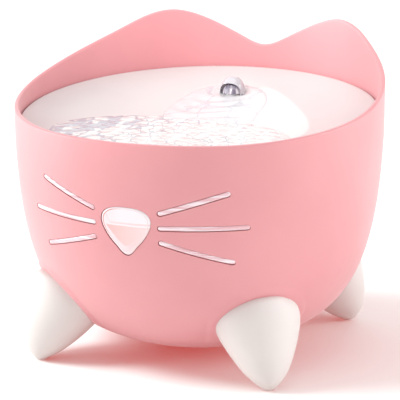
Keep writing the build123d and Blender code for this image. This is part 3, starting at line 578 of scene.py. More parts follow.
# share of the half width, share of the height: the right side, from the tip up
NOSE = [(.15, .027), (.37, .15), (.65, .316), (.874, .495), (.99, .65), (1, .75), (.937, .844),
        (.755, .93), (.46, .983)]
NOSE_MIDDLE = np.array((0.0, NOSE_BOTTOM + NOSE_HEIGHT * 0.62))
NOSE_COUNT = 160                        # points round the outline
NOSE_CROWN, CROWN_RISE, BEVEL_START = 0.65, 0.6, 0.88
# share of the way from the middle to the outline, and how far the face stands off the wall
NOSE_FACE = [(k, NOSE_CROWN + CROWN_RISE * (1 - (k / BEVEL_START) ** 2))
             for k in np.linspace(0, BEVEL_START, 12)]
NOSE_FACE += [(0.9, 0.62), (0.93, 0.52), (0.96, 0.34), (0.98, 0.15), (0.992, -0.08), (1.0, -0.4)]
FLANGE_FRONT, FLANGE_BACK, FLANGE_WIDTH = -4.2, -6.2, 3.0
LINE_IN, LINE_OUT, LINE_PROUD, LINE_SUNK = 0.895, 0.925, 0.03, -0.2


def nose_outline(grow=0.0, count=NOSE_COUNT):
    """The nose's outline, moved out from its middle by grow."""
    right = [(NOSE_HALF_WIDTH * x, NOSE_BOTTOM + NOSE_HEIGHT * z) for x, z in NOSE]
    left = [(-x, z) for x, z in right[::-1]]
    loop = [(0, NOSE_BOTTOM)] + right + [(0, NOSE_BOTTOM + NOSE_HEIGHT)] + left
    line = curve_through(loop, count, closed=True)
    reach = line - NOSE_MIDDLE
    return NOSE_MIDDLE + reach * (1 + grow / np.linalg.norm(reach, axis=1, keepdims=True))


def nose_grid():
    """Closed lens: from the crowned middle out to the bevel, over the edge, back through the
    wall, out to the flange behind it and in to the middle again. The crown is a parabola of
    the share of the way out."""
    line = nose_outline()
    front = [on_wall(NOSE_MIDDLE + (line - NOSE_MIDDLE) * k, np.full(len(line), proud))
             for k, proud in NOSE_FACE + [(1.0, FLANGE_FRONT)]]
    wide = nose_outline(FLANGE_WIDTH)
    back = [on_wall(wide, np.full(len(line), depth)) for depth in (FLANGE_FRONT, FLANGE_BACK)]
    back.append(on_wall(np.tile(NOSE_MIDDLE, (len(line), 1)), np.full(len(line), FLANGE_BACK)))
    return np.stack(front + back)


def nose_line_grid():
    """Closed thin ring let into the window's face along the bevel's inner edge."""
    line, face = nose_outline(), np.array(NOSE_FACE)
    return np.stack([on_wall(NOSE_MIDDLE + (line - NOSE_MIDDLE) * k,
                             np.full(len(line), np.interp(k, face[:, 0], face[:, 1]) + lift))
                     for k, lift in ((LINE_IN, LINE_PROUD), (LINE_OUT, LINE_PROUD),
                                     (LINE_OUT, LINE_SUNK), (LINE_IN, LINE_SUNK))])


print("nose outline:", len(nose_outline()), "points")

# %% [markdown]
# ## Whiskers
# Each whisker is a round-ended clear strip set in a groove in the wall. A curve with a bevel
# would give a rod, but these strips are flat with rounded edges. So the outline is a stadium
# drawn flat between two ends, and its rows step out from the strip's middle line, each at its
# own distance from the wall. The left ones are the right ones mirrored.

# %% Whisker strips
# inner and outer end of each strip on the right side, as (x, z)
WHISKERS = {"upper": ((21.8, 113.7), (59.6, 126.1)), "middle": ((21.6, 104.5), (68.8, 105.0)),
            "lower": ((21.6, 95.2), (60.2, 83.1))}
WHISKER_WIDTH, WHISKER_DEPTH = 2.9, 1.5
# share of the half width, and how far the strip stands off the wall: its rounded face and back
ROUNDED = ((0, 0.45), (0.35, 0.42), (0.65, 0.3), (0.85, 0.1), (0.96, -0.15), (1, -0.4),
           (1, -WHISKER_DEPTH), (0, -WHISKER_DEPTH))
END_POINTS = 12                         # points round each end


def strip_grid(ends, width, levels, count=96):
    """Round-ended strip between two points: the outline is a stadium, and a row is a share of
    the half width out from its middle line, at its own distance from the wall."""
    (x0, z0), (x1, z1) = np.asarray(ends, float)
    span = np.array((x1 - x0, z1 - z0))
    length = np.linalg.norm(span)
    along = span / length
    across = np.array((-along[1], along[0]))
    side = np.linspace(0, 1, count // 2 - END_POINTS)
    turn = np.radians(np.linspace(0, 180, END_POINTS + 2))[1:-1]
    shares = np.r_[side, np.ones(END_POINTS), side[::-1], np.zeros(END_POINTS)]
    centre = shares[:, None] * span + (x0, z0)
    straight = np.tile(across, (len(side), 1))
    end = np.outer(np.sin(turn), along) + np.outer(np.cos(turn), across)
    out = np.r_[straight, end, -straight, -end]
    return np.stack([on_wall(centre + out * share * width / 2, np.full(len(out), proud))
                     for share, proud in levels])


print("a strip's rows and columns:", strip_grid(WHISKERS["upper"], WHISKER_WIDTH, ROUNDED).shape[:2])

# %% [markdown]
# ## Openings in the wall
# The window and the strips sit in openings a third of a millimetre wider than they are, which
# show as a fine dark line round them. The line could be drawn by the material alone, but a real
# gap catches the light as the real joint does; the deep red sleeves set in it below add painted
# shade and painted bounce light to the line. Each opening is a closed solid that a Boolean takes
# out of the bowl; the pieces sit a hair off its middle, so the line is not even all round.

# %% Cut the openings
GROOVE_GAP, GROOVE_DEPTH = 0.34, 1.6
SEAT = np.array((-0.2, 0.0, -0.2))      # how far an opening lies off its piece's middle
CUT_FRONT, CUT_BACK, CUT_PROUD = -126, -92, 4
nose_hole = nose_outline(GROOVE_GAP)
hole_rows = [np.c_[k * (nose_hole - NOSE_MIDDLE) + NOSE_MIDDLE, np.full(NOSE_COUNT, y)][:, [0, 2, 1]]
             for k, y in ((0, CUT_FRONT), (1, CUT_FRONT), (1, CUT_BACK), (0, CUT_BACK))]
cutters = [surface("nose_hole", np.stack(hole_rows) + SEAT)]
groove_rows = ((0, CUT_PROUD), (1, CUT_PROUD), (1, -GROOVE_DEPTH), (0, -GROOVE_DEPTH))
for level, ends in WHISKERS.items():
    for mirror in (-1, 1):
        groove = strip_grid(ends, WHISKER_WIDTH + 2 * GROOVE_GAP, groove_rows)
        cutters.append(surface("groove", groove * (mirror, 1, 1) + SEAT))
cut(bowl_skin, cutters, sharp=50)
dress(bowl_skin, "bowl", pink_abs, "pink_plastic", "bowl_shell")

# %% Set in the window
# The sleeves carry the deep red painted gap shade round the window's side and under the strips.
SIDE_TOP, SIDE_BOTTOM, SIDE_GROW = -0.42, -4.0, 0.02     # the sleeve that colours the window's side
dress(surface("nose_lens", nose_grid(), sharp=60), "bowl", nose_clear, "clear_plastic", "nose_window")
dress(surface("nose_bevel_line", nose_line_grid(), ring=True), "bowl", nose_line, "clear_plastic")
sides = [on_wall(nose_outline(SIDE_GROW), np.full(NOSE_COUNT, depth)) for depth in (SIDE_TOP, SIDE_BOTTOM)]
centres = [np.full((NOSE_COUNT, 3), row.mean(axis=0)) for row in sides]
nose_side = surface("nose_lens_side", np.stack([centres[0]] + sides + [centres[1]]))
dress(nose_side, "bowl", clear_side_painted_gap_shade, "clear_plastic")

# %% Set in the whiskers
below_rows = ((0, -0.5), (1, SIDE_TOP), (1, -WHISKER_DEPTH - SIDE_GROW), (0, -WHISKER_DEPTH - SIDE_GROW))
for level, ends in WHISKERS.items():
    for side, mirror in (("left", -1), ("right", 1)):
        strip = surface(f"whisker_strip_{level}_{side}",
                        strip_grid(ends, WHISKER_WIDTH, ROUNDED) * (mirror, 1, 1), sharp=60)
        dress(strip, "bowl", whisker_clear, "clear_plastic", f"whisker_{level}_{side}")
        below = surface(f"whisker_side_{level}_{side}",
                        strip_grid(ends, WHISKER_WIDTH + 2 * SIDE_GROW, below_rows) * (mirror, 1, 1))
        dress(below, "bowl", clear_side_painted_gap_shade, "clear_plastic")

# %% [markdown]
# ## Claw feet
# A foot is a stack of ovals that swells from a small tip and closes under the belly. It could be
# a sphere pulled out of shape with proportional editing. As a stack, it follows the sections
# worked out above. Where an oval would enter the bowl, its points are pushed out to just under
# the bowl's raised pad.

# %% Feet
FOOT_STAND_OFF = 0.45                   # a foot's back lies this far off the bowl's wall


def foot_grid(angle, columns=96):
    """Ovals at the foot's levels: front and back along the foot's direction, half width
    across it. Points nearer the bowl's middle than its wall are moved out onto the wall."""
    turn = np.linspace(0, 2 * np.pi, columns, endpoint=False)
    level, half, tip, heel = (foot_rows[:, i:i + 1] for i in range(4))
    out = FOOT_FRONT - (tip + heel) / 2 + (heel - tip) / 2 * np.cos(turn)
    across = half * np.sin(turn)
    reach = np.hypot(out, across)
    least = wall_radius(level) + FOOT_STAND_OFF
    grow = np.maximum(reach, least) / reach
    out, across = out * grow, across * grow
    height = level + 0 * out
    direction, aside = np.array((sin(angle), -cos(angle))), np.array((cos(angle), sin(angle)))
    flat = out[..., None] * direction + across[..., None] * aside
    tip_row = np.r_[flat[0].mean(axis=0), FOOT_LIFT] * np.ones((1, columns, 3))
    return np.concatenate([tip_row, np.dstack([flat, height])])


for name, angle in zip(("front_right", "front_left", "rear_right", "rear_left"), FOOT_ANGLES):
    claw = surface(f"claw_{name}", foot_grid(radians(angle)), sharp=60)
    dress(claw, "bowl", foot_abs, "foot_plastic", f"foot_{name}")

# %% [markdown]
# ## Drinking tray
# The tray is a polished plate that slopes down from the wall to a shallow pool near the front.
# Seen along its slope, it mirrors the pink wall behind it, so its heights must be smooth: a
# subdivided cage pulled into shape would show every wobble in that mirror. Here the height is
# one formula of the place, and the grid runs out from the pool's middle, so that a row of it
# lies exactly on the shore.

# %% Tray heights
POOL_LEVEL, POOL_DEPTH, POOL_Y = 147.0, 7.5, -50.0
POOL_X_HALF, POOL_Y_HALF = 77.0, 53.0
TRAY_EDGE, TRAY_TILT, TILT_START, TILT_BLEND = 149.8, 4.67, -37.3, 12.0   # mm, degrees, mm, mm
FLARE = 1.25                            # how much steeper the slope is at the edge than on average
TRAY_RADIUS, TRAY_THICK, TRAY_LIP = 114.2, 2.4, 0.9
SKIRT_FOOT, SKIRT_THICK = 138.2, 2.2    # the skirt under the edge, which stands on the ledge


def ray(uy, radius):
    """Distance from the pool's middle, along a direction whose share in y is uy, to a circle
    round the bowl's middle."""
    return -POOL_Y * uy + np.sqrt((POOL_Y * uy) ** 2 + radius ** 2 - POOL_Y ** 2)


def tray_height(x, y):
    """Height of the tray's top: along each direction from the pool's middle, a smooth dip up
    to the water line, then a slope that steepens a little towards the edge. The edge is
    level at the front and climbs evenly behind it."""
    reach = np.maximum(np.hypot(x, y - POOL_Y), 1e-6)
    uy = (y - POOL_Y) / reach
    ux = np.where(reach > 1e-6, x / reach, 1.0)
    shore = 1 / np.hypot(ux / POOL_X_HALF, uy / POOL_Y_HALF)
    wall = ray(uy, INSIDE)
    past = POOL_Y + wall * uy - TILT_START
    edge = TRAY_EDGE + (past + np.sqrt(past ** 2 + TILT_BLEND ** 2)) / 2 * tan(radians(TRAY_TILT))
    climb = edge - POOL_LEVEL
    entry = (2 - FLARE) * climb / (wall - shore) * shore
    quartic = (entry - 2 * POOL_DEPTH) / 2
    s, t = reach / shore, (reach - shore) / (wall - shore)
    dip = POOL_LEVEL - POOL_DEPTH + (POOL_DEPTH - quartic) * s ** 2 + quartic * s ** 4
    slope = POOL_LEVEL + climb * ((2 - FLARE) * t + (FLARE - 1) * t ** 2)
    return np.where(reach <= shore, dip, slope)


def tray_grid(columns=288):
    """Closed plate and skirt: out from the pool's middle along the top, round the lip, down
    the skirt, up inside it and back along the underside. The lip is a quarter round."""
    turn = np.linspace(0, 2 * np.pi, columns, endpoint=False)
    ux, uy = np.cos(turn), np.sin(turn)
    shore = 1 / np.hypot(ux / POOL_X_HALF, uy / POOL_Y_HALF)
    edge = ray(uy, TRAY_RADIUS)
    inner = np.linspace(0, 1, 30)[:, None]
    outer = np.linspace(0, 1, 46)[1:, None]
    reach = np.concatenate([inner * shore, shore + outer * (edge - TRAY_LIP - shore)])
    top = np.stack([reach * ux, POOL_Y + reach * uy], -1)
    grid = [np.dstack([top, tray_height(top[..., 0], top[..., 1])])]
    rim = grid[0][-1, :, 2]
    foot = 0 * rim + SKIRT_FOOT
    quarter = np.radians(np.linspace(0, 90, 5))[1:]
    lip = [(TRAY_LIP * np.sin(q), rim - TRAY_LIP * (1 - np.cos(q))) for q in quarter]
    back = TRAY_LIP - SKIRT_THICK
    for out, height in lip + [(TRAY_LIP, foot), (back, foot), (back, rim - TRAY_THICK)]:
        far = edge - TRAY_LIP + out
        grid.append(np.stack([far * ux, POOL_Y + far * uy, height], -1)[None])
    under = top[::-3]
    grid.append(np.dstack([under, tray_height(under[..., 0], under[..., 1]) - TRAY_THICK]))
    grid.append(np.array((0, POOL_Y, POOL_LEVEL - POOL_DEPTH - TRAY_THICK)) * np.ones((1, columns, 3)))
    return np.concatenate(grid)


tray_top = surface("tray_top", tray_grid(), sharp=50)
print("tray top:", len(tray_top.data.polygons), "faces")

# %% [markdown]
# ## Openings and fittings of the tray
# The tray has a seat for the spout's cap, a bore for the water, a neck, a collar that holds the
# filter underneath, and a slot at the front through which the pool overflows. Primitives such as
# cylinders would do for some of them. Two helpers make them all: a profile turned round an
# upright axis, and an outline carried up through levels.

# %% Rings, tubes and slots
def lathe(name, profile, centre=(0.0, 0.0), columns=64, ring=True, sharp=40):
    """A profile of (radius, height) pairs turned round an upright axis through the centre."""
    turn = np.linspace(0, 2 * np.pi, columns, endpoint=False)
    radius, height = np.asarray(profile, float).T[..., None]
    grid = np.stack([centre[0] + radius * np.cos(turn), centre[1] + radius * np.sin(turn),
                     height + 0 * turn * radius], -1)
    return surface(name, grid, ring=ring, sharp=sharp)


def upright(name, outline, levels, middle):
    """An outline of (x, y) points carried through levels of (share, height): a share of 1 is
    the outline itself and 0 its middle."""
    line = np.asarray(outline, float)
    return surface(name, np.stack([np.c_[middle + (line - middle) * k, np.full(len(line), z)]
                                   for k, z in levels]))


def stadium(length, width, y, count=20):
    """A slot with round ends, lying across the bowl at y, as (x, y) points."""
    turn = np.radians(np.linspace(-90, 90, count))
    half, radius = (length - width) / 2, width / 2
    right = np.c_[half + radius * np.cos(turn), y + radius * np.sin(turn)]
    return np.vstack([right, np.c_[-right[:, 0], right[:, 1]][::-1]])


print("a slot's outline:", len(stadium(32, 11, 0)), "points")

# %% Openings in the tray
SPOUT = (0.0, 58.0)
SEAT_RADIUS, SEAT_Z = 10.5, 153.6
NECK_RADIUS, NECK_TOP, NECK_ROUND, BORE = 5.2, 157.1, 0.4, 3.7
WELL_Y, WELL_LENGTH, WELL_WIDTH, WELL_WALL, WELL_ROUND = -93.0, 32.0, 11.0, 2.0, 0.5
CUT_LOW, CUT_HIGH, WELL_CUT_HIGH = 120, 165, 160    # cutters reach from under the tray to over it
bore_radius = NECK_RADIUS - NECK_ROUND
seat_cut = lathe("seat_cut", [(0, SEAT_Z), (SEAT_RADIUS, SEAT_Z), (SEAT_RADIUS, CUT_HIGH), (0, CUT_HIGH)],
                 SPOUT, ring=False)
bore_cut = lathe("bore_cut", [(0, CUT_LOW), (bore_radius, CUT_LOW), (bore_radius, CUT_HIGH), (0, CUT_HIGH)],
                 SPOUT, ring=False)
well_middle = np.array((0.0, WELL_Y))
well_cut = upright("well_cut", stadium(WELL_LENGTH - 1, WELL_WIDTH - 1, WELL_Y),
                   ((0, CUT_LOW), (1, CUT_LOW), (1, WELL_CUT_HIGH), (0, WELL_CUT_HIGH)), well_middle)
cut(tray_top, [seat_cut, bore_cut, well_cut], sharp=50)
dress(tray_top, "tray", tray_abs, "white_plastic", "drinking_tray")

# %% Tray fittings
SOCKET_IN, SOCKET_OUT = 7.15, 9.15      # the socket under the neck, which takes the riser tube
SOCKET_FOOT, SOCKET_ROOF, NECK_FOOT = 137.4, 149.2, 151.0
neck = lathe("tray_spout_neck",
             [(NECK_RADIUS, NECK_FOOT), (NECK_RADIUS, NECK_TOP - NECK_ROUND), (bore_radius, NECK_TOP),
              (BORE + 0.3, NECK_TOP), (BORE, NECK_TOP - 0.3), (BORE, SOCKET_ROOF),
              (SOCKET_IN, SOCKET_ROOF), (SOCKET_IN, SOCKET_FOOT), (SOCKET_OUT, SOCKET_FOOT),
              (SOCKET_OUT, NECK_FOOT)], SPOUT)
COLLAR_IN, COLLAR_OUT, COLLAR_FOOT, COLLAR_TOP, COLLAR_Y = 54.5, 56.5, 129.0, 140.5, -48.0
COLLAR_ROUND = 0.5
collar = lathe("tray_filter_collar",
               [(COLLAR_IN, COLLAR_FOOT + COLLAR_ROUND), (COLLAR_IN + COLLAR_ROUND, COLLAR_FOOT),
                (COLLAR_OUT - COLLAR_ROUND, COLLAR_FOOT), (COLLAR_OUT, COLLAR_FOOT + COLLAR_ROUND),
                (COLLAR_OUT, COLLAR_TOP), (COLLAR_IN, COLLAR_TOP)], (0, COLLAR_Y), columns=128)
well_foot, well_top = POOL_LEVEL - POOL_DEPTH - TRAY_THICK, POOL_LEVEL
well_rows = [np.c_[stadium(WELL_LENGTH - 2 * inset, WELL_WIDTH - 2 * inset, WELL_Y), np.full(40, z)]
             for inset, z in ((0, well_foot), (0, well_top - WELL_ROUND), (WELL_ROUND, well_top),
                              (WELL_WALL - WELL_ROUND, well_top), (WELL_WALL, well_top - WELL_ROUND),
                              (WELL_WALL, well_foot))]
well = surface("tray_overflow_well", np.stack(well_rows), ring=True)
for piece in (neck, collar, well):
    dress(piece, "tray", tray_abs, "white_plastic")

# %% [markdown]
# ## Spout cap
# A small dome pushed over the tray's neck, with a wide low mouth towards the pool. It is moulded
# in a milky clear plastic that lets some light through, so its mouth is grey rather than black.
# Half a UV sphere with Solidify would give the dome too; here a quarter ellipse and a smaller one
# inside it are turned as one closed shell, and the mouth is cut out with an arch.

# %% Spout cap
cap_clear = moulded("milky_clear_abs", ("#DDD8DD", "#DFDADF"), 0.08, 8.0, 0.001)
cap_clear.node_tree.nodes["Principled BSDF"].inputs["Transmission Weight"].default_value = 0.4
CAP_RADIUS, CAP_HEIGHT, CAP_WALL, CAP_BASE = 8.75, 11.2, 1.4, 153.9
MOUTH_HALF, MOUTH_FOOT, MOUTH_RISE = 7.2, 2.2, 5.2
MOUTH_SINK, MOUTH_FRONT = 2, 44         # how far the cutter reaches under the cap, and its front y
arc = np.radians(np.linspace(0, 90, 24))[:, None]
dome = [np.hstack([(CAP_RADIUS - wall) * np.cos(arc), CAP_BASE + (CAP_HEIGHT - wall) * np.sin(arc)])
        for wall in (0, CAP_WALL)]
cap = lathe("spout_dome", np.vstack([dome[0], dome[1][::-1]]), SPOUT, columns=96, sharp=50)
arch = np.radians(np.linspace(0, 180, 24))
mouth = np.c_[MOUTH_HALF * np.cos(arch), CAP_BASE + MOUTH_FOOT + MOUTH_RISE * np.sin(arch)]
mouth = np.vstack([mouth, [(-MOUTH_HALF, CAP_BASE - MOUTH_SINK), (MOUTH_HALF, CAP_BASE - MOUTH_SINK)]])
mouth_middle = np.array((0, CAP_BASE + MOUTH_SINK))
mouth_rows = [np.c_[mouth_middle + (mouth - mouth_middle) * k, np.full(len(mouth), y)][:, [0, 2, 1]]
              for k, y in ((0, MOUTH_FRONT), (1, MOUTH_FRONT), (1, SPOUT[1]), (0, SPOUT[1]))]
cut(cap, [surface("mouth_cut", np.stack(mouth_rows))], sharp=50)
print("spout dome:", len(cap.data.polygons), "faces")

# %% [markdown]
# ## Water finish
# Water is no part of the fountain, but it is what the fountain is for. It wells up at the spout,
# runs down the tray as a thin sheet and ripples in the pool. The bright patches between grey
# lines are the light that the ripples focus. A path tracer could find them from the ripples
# alone, but only with caustics and thousands of samples. So the material draws them, as the
# cells of a Voronoi pattern pushed about by noise, which is the shape that such light takes.

# %% Water finish
WARP, PATCH, FLECK = 16, 38, 5        # sizes of the push, of the calm patches and of the bump, mm
PUSH, FLECK_DEPTH = 20, 0.6             # how far the cells are pushed about, depth of the bump, mm
ROUGH_SIDE, CALM_SIDE = -60, 10         # the lines thin out from left to right, between these x, mm


def water(name, cell_mm, stretch, light, shade, clear, full, dense):
    """Rippled water with painted light: bright cells of painted focused light, parted by darker lines
    of painted shade, both partly see-through. The cells are a Voronoi pattern whose place is pushed
    about by noise. Faces that look down are clear, so that the pattern is drawn once. A stretch
    under 1 makes the cells longer in y; clear and full are the opacities of a line and of a cell;
    dense is the width of the lines at the left, as a share of a cell."""
    material, tree, shader, place = start_material(name)
    push = add(tree, "TexNoise", {"Vector": place, "Scale": 1 / (WARP * MM), "Detail": 3.0})
    moved = add(tree, "VectorMath", {0: push.outputs["Color"], 1: (PUSH * MM, PUSH * MM, 0.0)},
                operation="MULTIPLY")
    warped = add(tree, "VectorMath", {0: place, 1: moved.outputs[0]}, operation="ADD")
    scaled = add(tree, "Mapping", {"Vector": warped.outputs[0], "Scale": (1.0, stretch, 0.0)})
    cells = add(tree, "TexVoronoi", {"Vector": scaled.outputs["Vector"], "Scale": 1 / (cell_mm * MM)},
                feature="DISTANCE_TO_EDGE")
    patch = add(tree, "TexNoise", {"Vector": place, "Scale": 1 / (PATCH * MM), "Detail": 2.0})
    across = add(tree, "SeparateXYZ", {"Vector": place}).outputs["X"]
    side = add(tree, "MapRange", {"Value": across, "From Min": ROUGH_SIDE * MM,
                                  "From Max": CALM_SIDE * MM, "To Min": dense, "To Max": 0.05})
    density = add(tree, "MapRange", {"Value": patch.outputs["Fac"], "From Min": 0.35, "From Max": 0.65,
                                     "To Min": 0.01, "To Max": side.outputs["Result"]})
    bright = add(tree, "MapRange", {"Value": cells.outputs["Distance"], "From Min": 0.0,
                                    "From Max": density.outputs["Result"]}, interpolation_type="SMOOTHSTEP")
    # Painted light and shade: the light tone for focused light in the cells, the shade tone in the lines.
    tone = ramp(tree, bright.outputs["Result"], [(0.0, shade), (0.75, shade), (1.0, light)])
    tree.links.new(tone, shader.inputs["Base Color"])
    up = add(tree, "SeparateXYZ", {"Vector": add(tree, "NewGeometry").outputs["Normal"]}).outputs["Z"]
    seen = add(tree, "Math", {0: up, 1: 0.0}, operation="GREATER_THAN").outputs[0]
    body = add(tree, "MapRange", {"Value": bright.outputs["Result"], "To Min": clear, "To Max": full})
    alpha = add(tree, "Math", {0: body.outputs["Result"], 1: seen}, operation="MULTIPLY")
    tree.links.new(alpha.outputs[0], shader.inputs["Alpha"])
    fine = add(tree, "TexNoise", {"Vector": warped.outputs[0], "Scale": 1 / (FLECK * MM), "Detail": 3.0})
    bump = add(tree, "Bump", {"Height": fine.outputs["Fac"], "Distance": FLECK_DEPTH * MM, "Strength": 0.6})
    tree.links.new(bump.outputs["Normal"], shader.inputs["Normal"])
    shader.inputs["Roughness"].default_value = 0.04
    shader.inputs["IOR"].default_value = 1.33
    shader.inputs["Coat Weight"].default_value = 0.3
    shader.inputs["Coat IOR"].default_value = 1.33
    return material


# The pool is broken into small cells; the thin sheet runs smoother, so its cells are large,
# longer down the slope, and it lets more of the tray show.
pool_water = water("rippled_water", 10.0, 0.75, "#DBD8D6", "#B3B0B9", 0.75, 0.92, 0.22)
sheet_water = water("running_water_sheet", 26.0, 0.5, "#D3CFD1", "#BDBBC3", 0.4, 0.6, 0.1)


SPRING_STREAK = (2.381, 2.381, 25.0)    # size of its upright streaks along x, y and z, mm


def welling():
    """Water welling up under the cap, in painted shade: grey with upright streaks, as clear water in
    shade is.
    """
    material, tree, shader, place = start_material("welling_water")
    scaled = add(tree, "Mapping", {"Vector": place, "Scale": [1 / (size * MM) for size in SPRING_STREAK]})
    streak = add(tree, "TexNoise", {"Vector": scaled.outputs["Vector"], "Scale": 1.0,
                                    "Detail": 2.0}).outputs["Fac"]
    # Painted shade: dark grey streaks for the shade inside the cap's mouth.
    tree.links.new(ramp(tree, streak, [(0.38, "#6F6877"), (0.52, "#938B97"), (0.64, "#D2CACD")]),
                   shader.inputs["Base Color"])
    shader.inputs["Roughness"].default_value = 0.1
    shader.inputs["IOR"].default_value = 1.33
    return material


spring_water_painted_shade = welling()
print("water finishes:", pool_water.name, sheet_water.name, spring_water_painted_shade.name)

# %% [markdown]
# ## Water shapes
# The pool could be a flat disc with a bump, but the eye sees a flat disc at its shore. Here the
# ripples are real heights, a sum of a few waves, that die out where the water meets the tray. An
# Ocean modifier makes waves too, yet it knows no shore. The sheet is a thin skin laid on the
# tray's heights, drawn inside the outline where the water runs.

# %% Ripples, pool and spring
# length in mm, direction in degrees, height in mm, phase
RIPPLES = ((14, 20, .22, 0), (9, 75, .18, 1.7), (6.5, -40, .14, 3.1), (5, 110, .10, 4.0),
           (11, -75, .16, 5.2))
POOL_RISE = 0.15                        # the water stands this much over the tray's shore
SHORE_OVERLAP, SHORE_CALM = 1.012, 0.12
WATER_GAP = 0.06                        # between the water's underside and the tray
WATER_LEAST = 0.05                      # the least thickness of the water


def ripple(x, y):
    """Ripples in mm: the sum of a few waves in fixed directions with fixed phases."""
    total = 0 * x
    for length, direction, height, phase in RIPPLES:
        a = radians(direction)
        total = total + height * np.sin(2 * np.pi / length * (x * cos(a) + y * sin(a)) + phase)
    return total


def pool_grid(columns=192, rows=64):
    """Closed sheet of water: rippled on top, dying out at the shore, and following the tray
    a hair above it underneath."""
    turn = np.linspace(0, 2 * np.pi, columns, endpoint=False)
    ux, uy = np.cos(turn), np.sin(turn)
    shore = 1 / np.hypot(ux / POOL_X_HALF, uy / POOL_Y_HALF) * SHORE_OVERLAP
    shore = np.minimum(shore, ray(uy, TRAY_RADIUS - 1))
    share = np.linspace(0, 1, rows)[:, None]
    x, y = share * shore * ux, POOL_Y + share * shore * uy
    calm = np.clip((1 - share) / SHORE_CALM, 0, 1)
    top = POOL_LEVEL + POOL_RISE + ripple(x, y) * calm
    bottom = np.minimum(tray_height(x, y) + WATER_GAP, top - WATER_LEAST)
    return np.concatenate([np.stack([x, y, top], -1), np.stack([x, y, bottom], -1)[::-2]])


# radius and height of the water that fills the cap and wells out of it
SPRING = [(0, 160.6), (3.0, 160.2), (5.2, 158.9), (6.5, 156.6), (6.9, 154.1), (0, 154.1)]
spring = lathe("welling_water", SPRING, SPOUT, ring=False)
pool = surface("pool_water", pool_grid(), sharp=80)
print("pool:", len(pool.data.polygons), "faces")

# %% Running sheet
# the edge of the sheet as (x, y), from behind the spout round by the right
SHEET = [(0, 73), (9, 73), (19.5, 65), (27, 51), (31, 35), (34, 11), (34.5, -3), (22, -8), (0, -9),
         (-20, -8), (-26, 1), (-29.5, 25), (-27.5, 48), (-23, 62), (-14, 70)]
SHEET_MIDDLE = np.array((0.0, 50.0))
SHEET_DEPTH, SHEET_GAP = 1.3, 0.02      # its mean thickness, and its gap to the tray
SHORT_WAVE, LONG_WAVE = 0.16, 0.12      # heights of the waves on it
SPRING_EDGE, SPRING_BLEND = 6.5, 6.0    # under the cap the sheet is thin, and thickens after it
SEAT_FILL = 1.6                         # how far the water in the cap's seat stands over its floor


def sheet_grid(columns=192, rows=60):
    """Thin sheet round the spout and down to the pool, on the tray's top. A row is a share of
    the way from the middle to the outline; the thickness falls off at the outline as a quarter
    round. Two waves run down it away from the spout: one 12 mm long, bent from side to side,
    and one 21 mm long, that winds round the spout."""
    line = curve_through(SHEET, columns, closed=True)
    share = np.linspace(0, 1, rows)[:, None, None]
    flat = SHEET_MIDDLE + (line - SHEET_MIDDLE) * share
    x, y = flat[..., 0], flat[..., 1]
    run, way = np.hypot(x, y - SPOUT[1]), np.arctan2(x, SPOUT[1] - y)
    wave = (SHORT_WAVE * np.sin(run / 1.9 + 2.2 * np.sin(x / 9.0))
            + LONG_WAVE * np.sin(run / 3.4 + way * 5))
    edge = np.sqrt(np.clip(1 - share[..., 0] ** 9, 0, 1))
    thick = (SHEET_DEPTH + wave) * edge * np.clip((run - SPRING_EDGE) / SPRING_BLEND, 0.12, 1)
    base = tray_height(x, y)
    base = np.where(run < SEAT_RADIUS, np.minimum(base, SEAT_Z + SEAT_FILL), base) + SHEET_GAP
    return np.concatenate([np.stack([x, y, base + thick], -1), np.stack([x, y, base], -1)[::-2]])


sheet = surface("spout_water", sheet_grid(), sharp=80)
print("sheet:", len(sheet.data.polygons), "faces")

# %% [markdown]
# ## Finishes of the smaller parts
# The parts under the tray are seen only when it is lifted out, and those in the pump not at all.
# Each still gets the finish of its real material, so that the model is true when it is taken
# apart. Foam, felt, granules, windings and metals all have a grain of a known size. One function
# draws it, from cells for what is made of lumps and from noise for fibres, wires and sheets.

# %% Fabric, foam and metal
def speckled(name, cell_mm, depth_mm, colours, roughness, metallic=0.0, stretch=None):
    """A finish with a grain of a real size: cells, or, where a stretch is given, noise that is
    drawn out along the axes with a small scale. The same grain gives the tone and, as height,
    the bump."""
    material, tree, shader, place = start_material(name)
    scaled = add(tree, "Mapping", {"Vector": place, "Scale": stretch or (1, 1, 1)})
    grain = add(tree, "TexNoise" if stretch else "TexVoronoi",
                {"Vector": scaled.outputs["Vector"], "Scale": 1 / (cell_mm * MM)})
    height = grain.outputs["Fac" if stretch else "Distance"]
    tree.links.new(ramp(tree, height, [(0.15, colours[0]), (0.75, colours[1])]),
                   shader.inputs["Base Color"])
    bump = add(tree, "Bump", {"Height": height, "Distance": depth_mm * MM, "Strength": 0.8})
    tree.links.new(bump.outputs["Normal"], shader.inputs["Normal"])
    rough = add(tree, "MapRange", {"Value": height, "To Min": roughness * 0.8, "To Max": roughness * 1.2})
    tree.links.new(rough.outputs["Result"], shader.inputs["Roughness"])
    shader.inputs["Metallic"].default_value = metallic
    return material


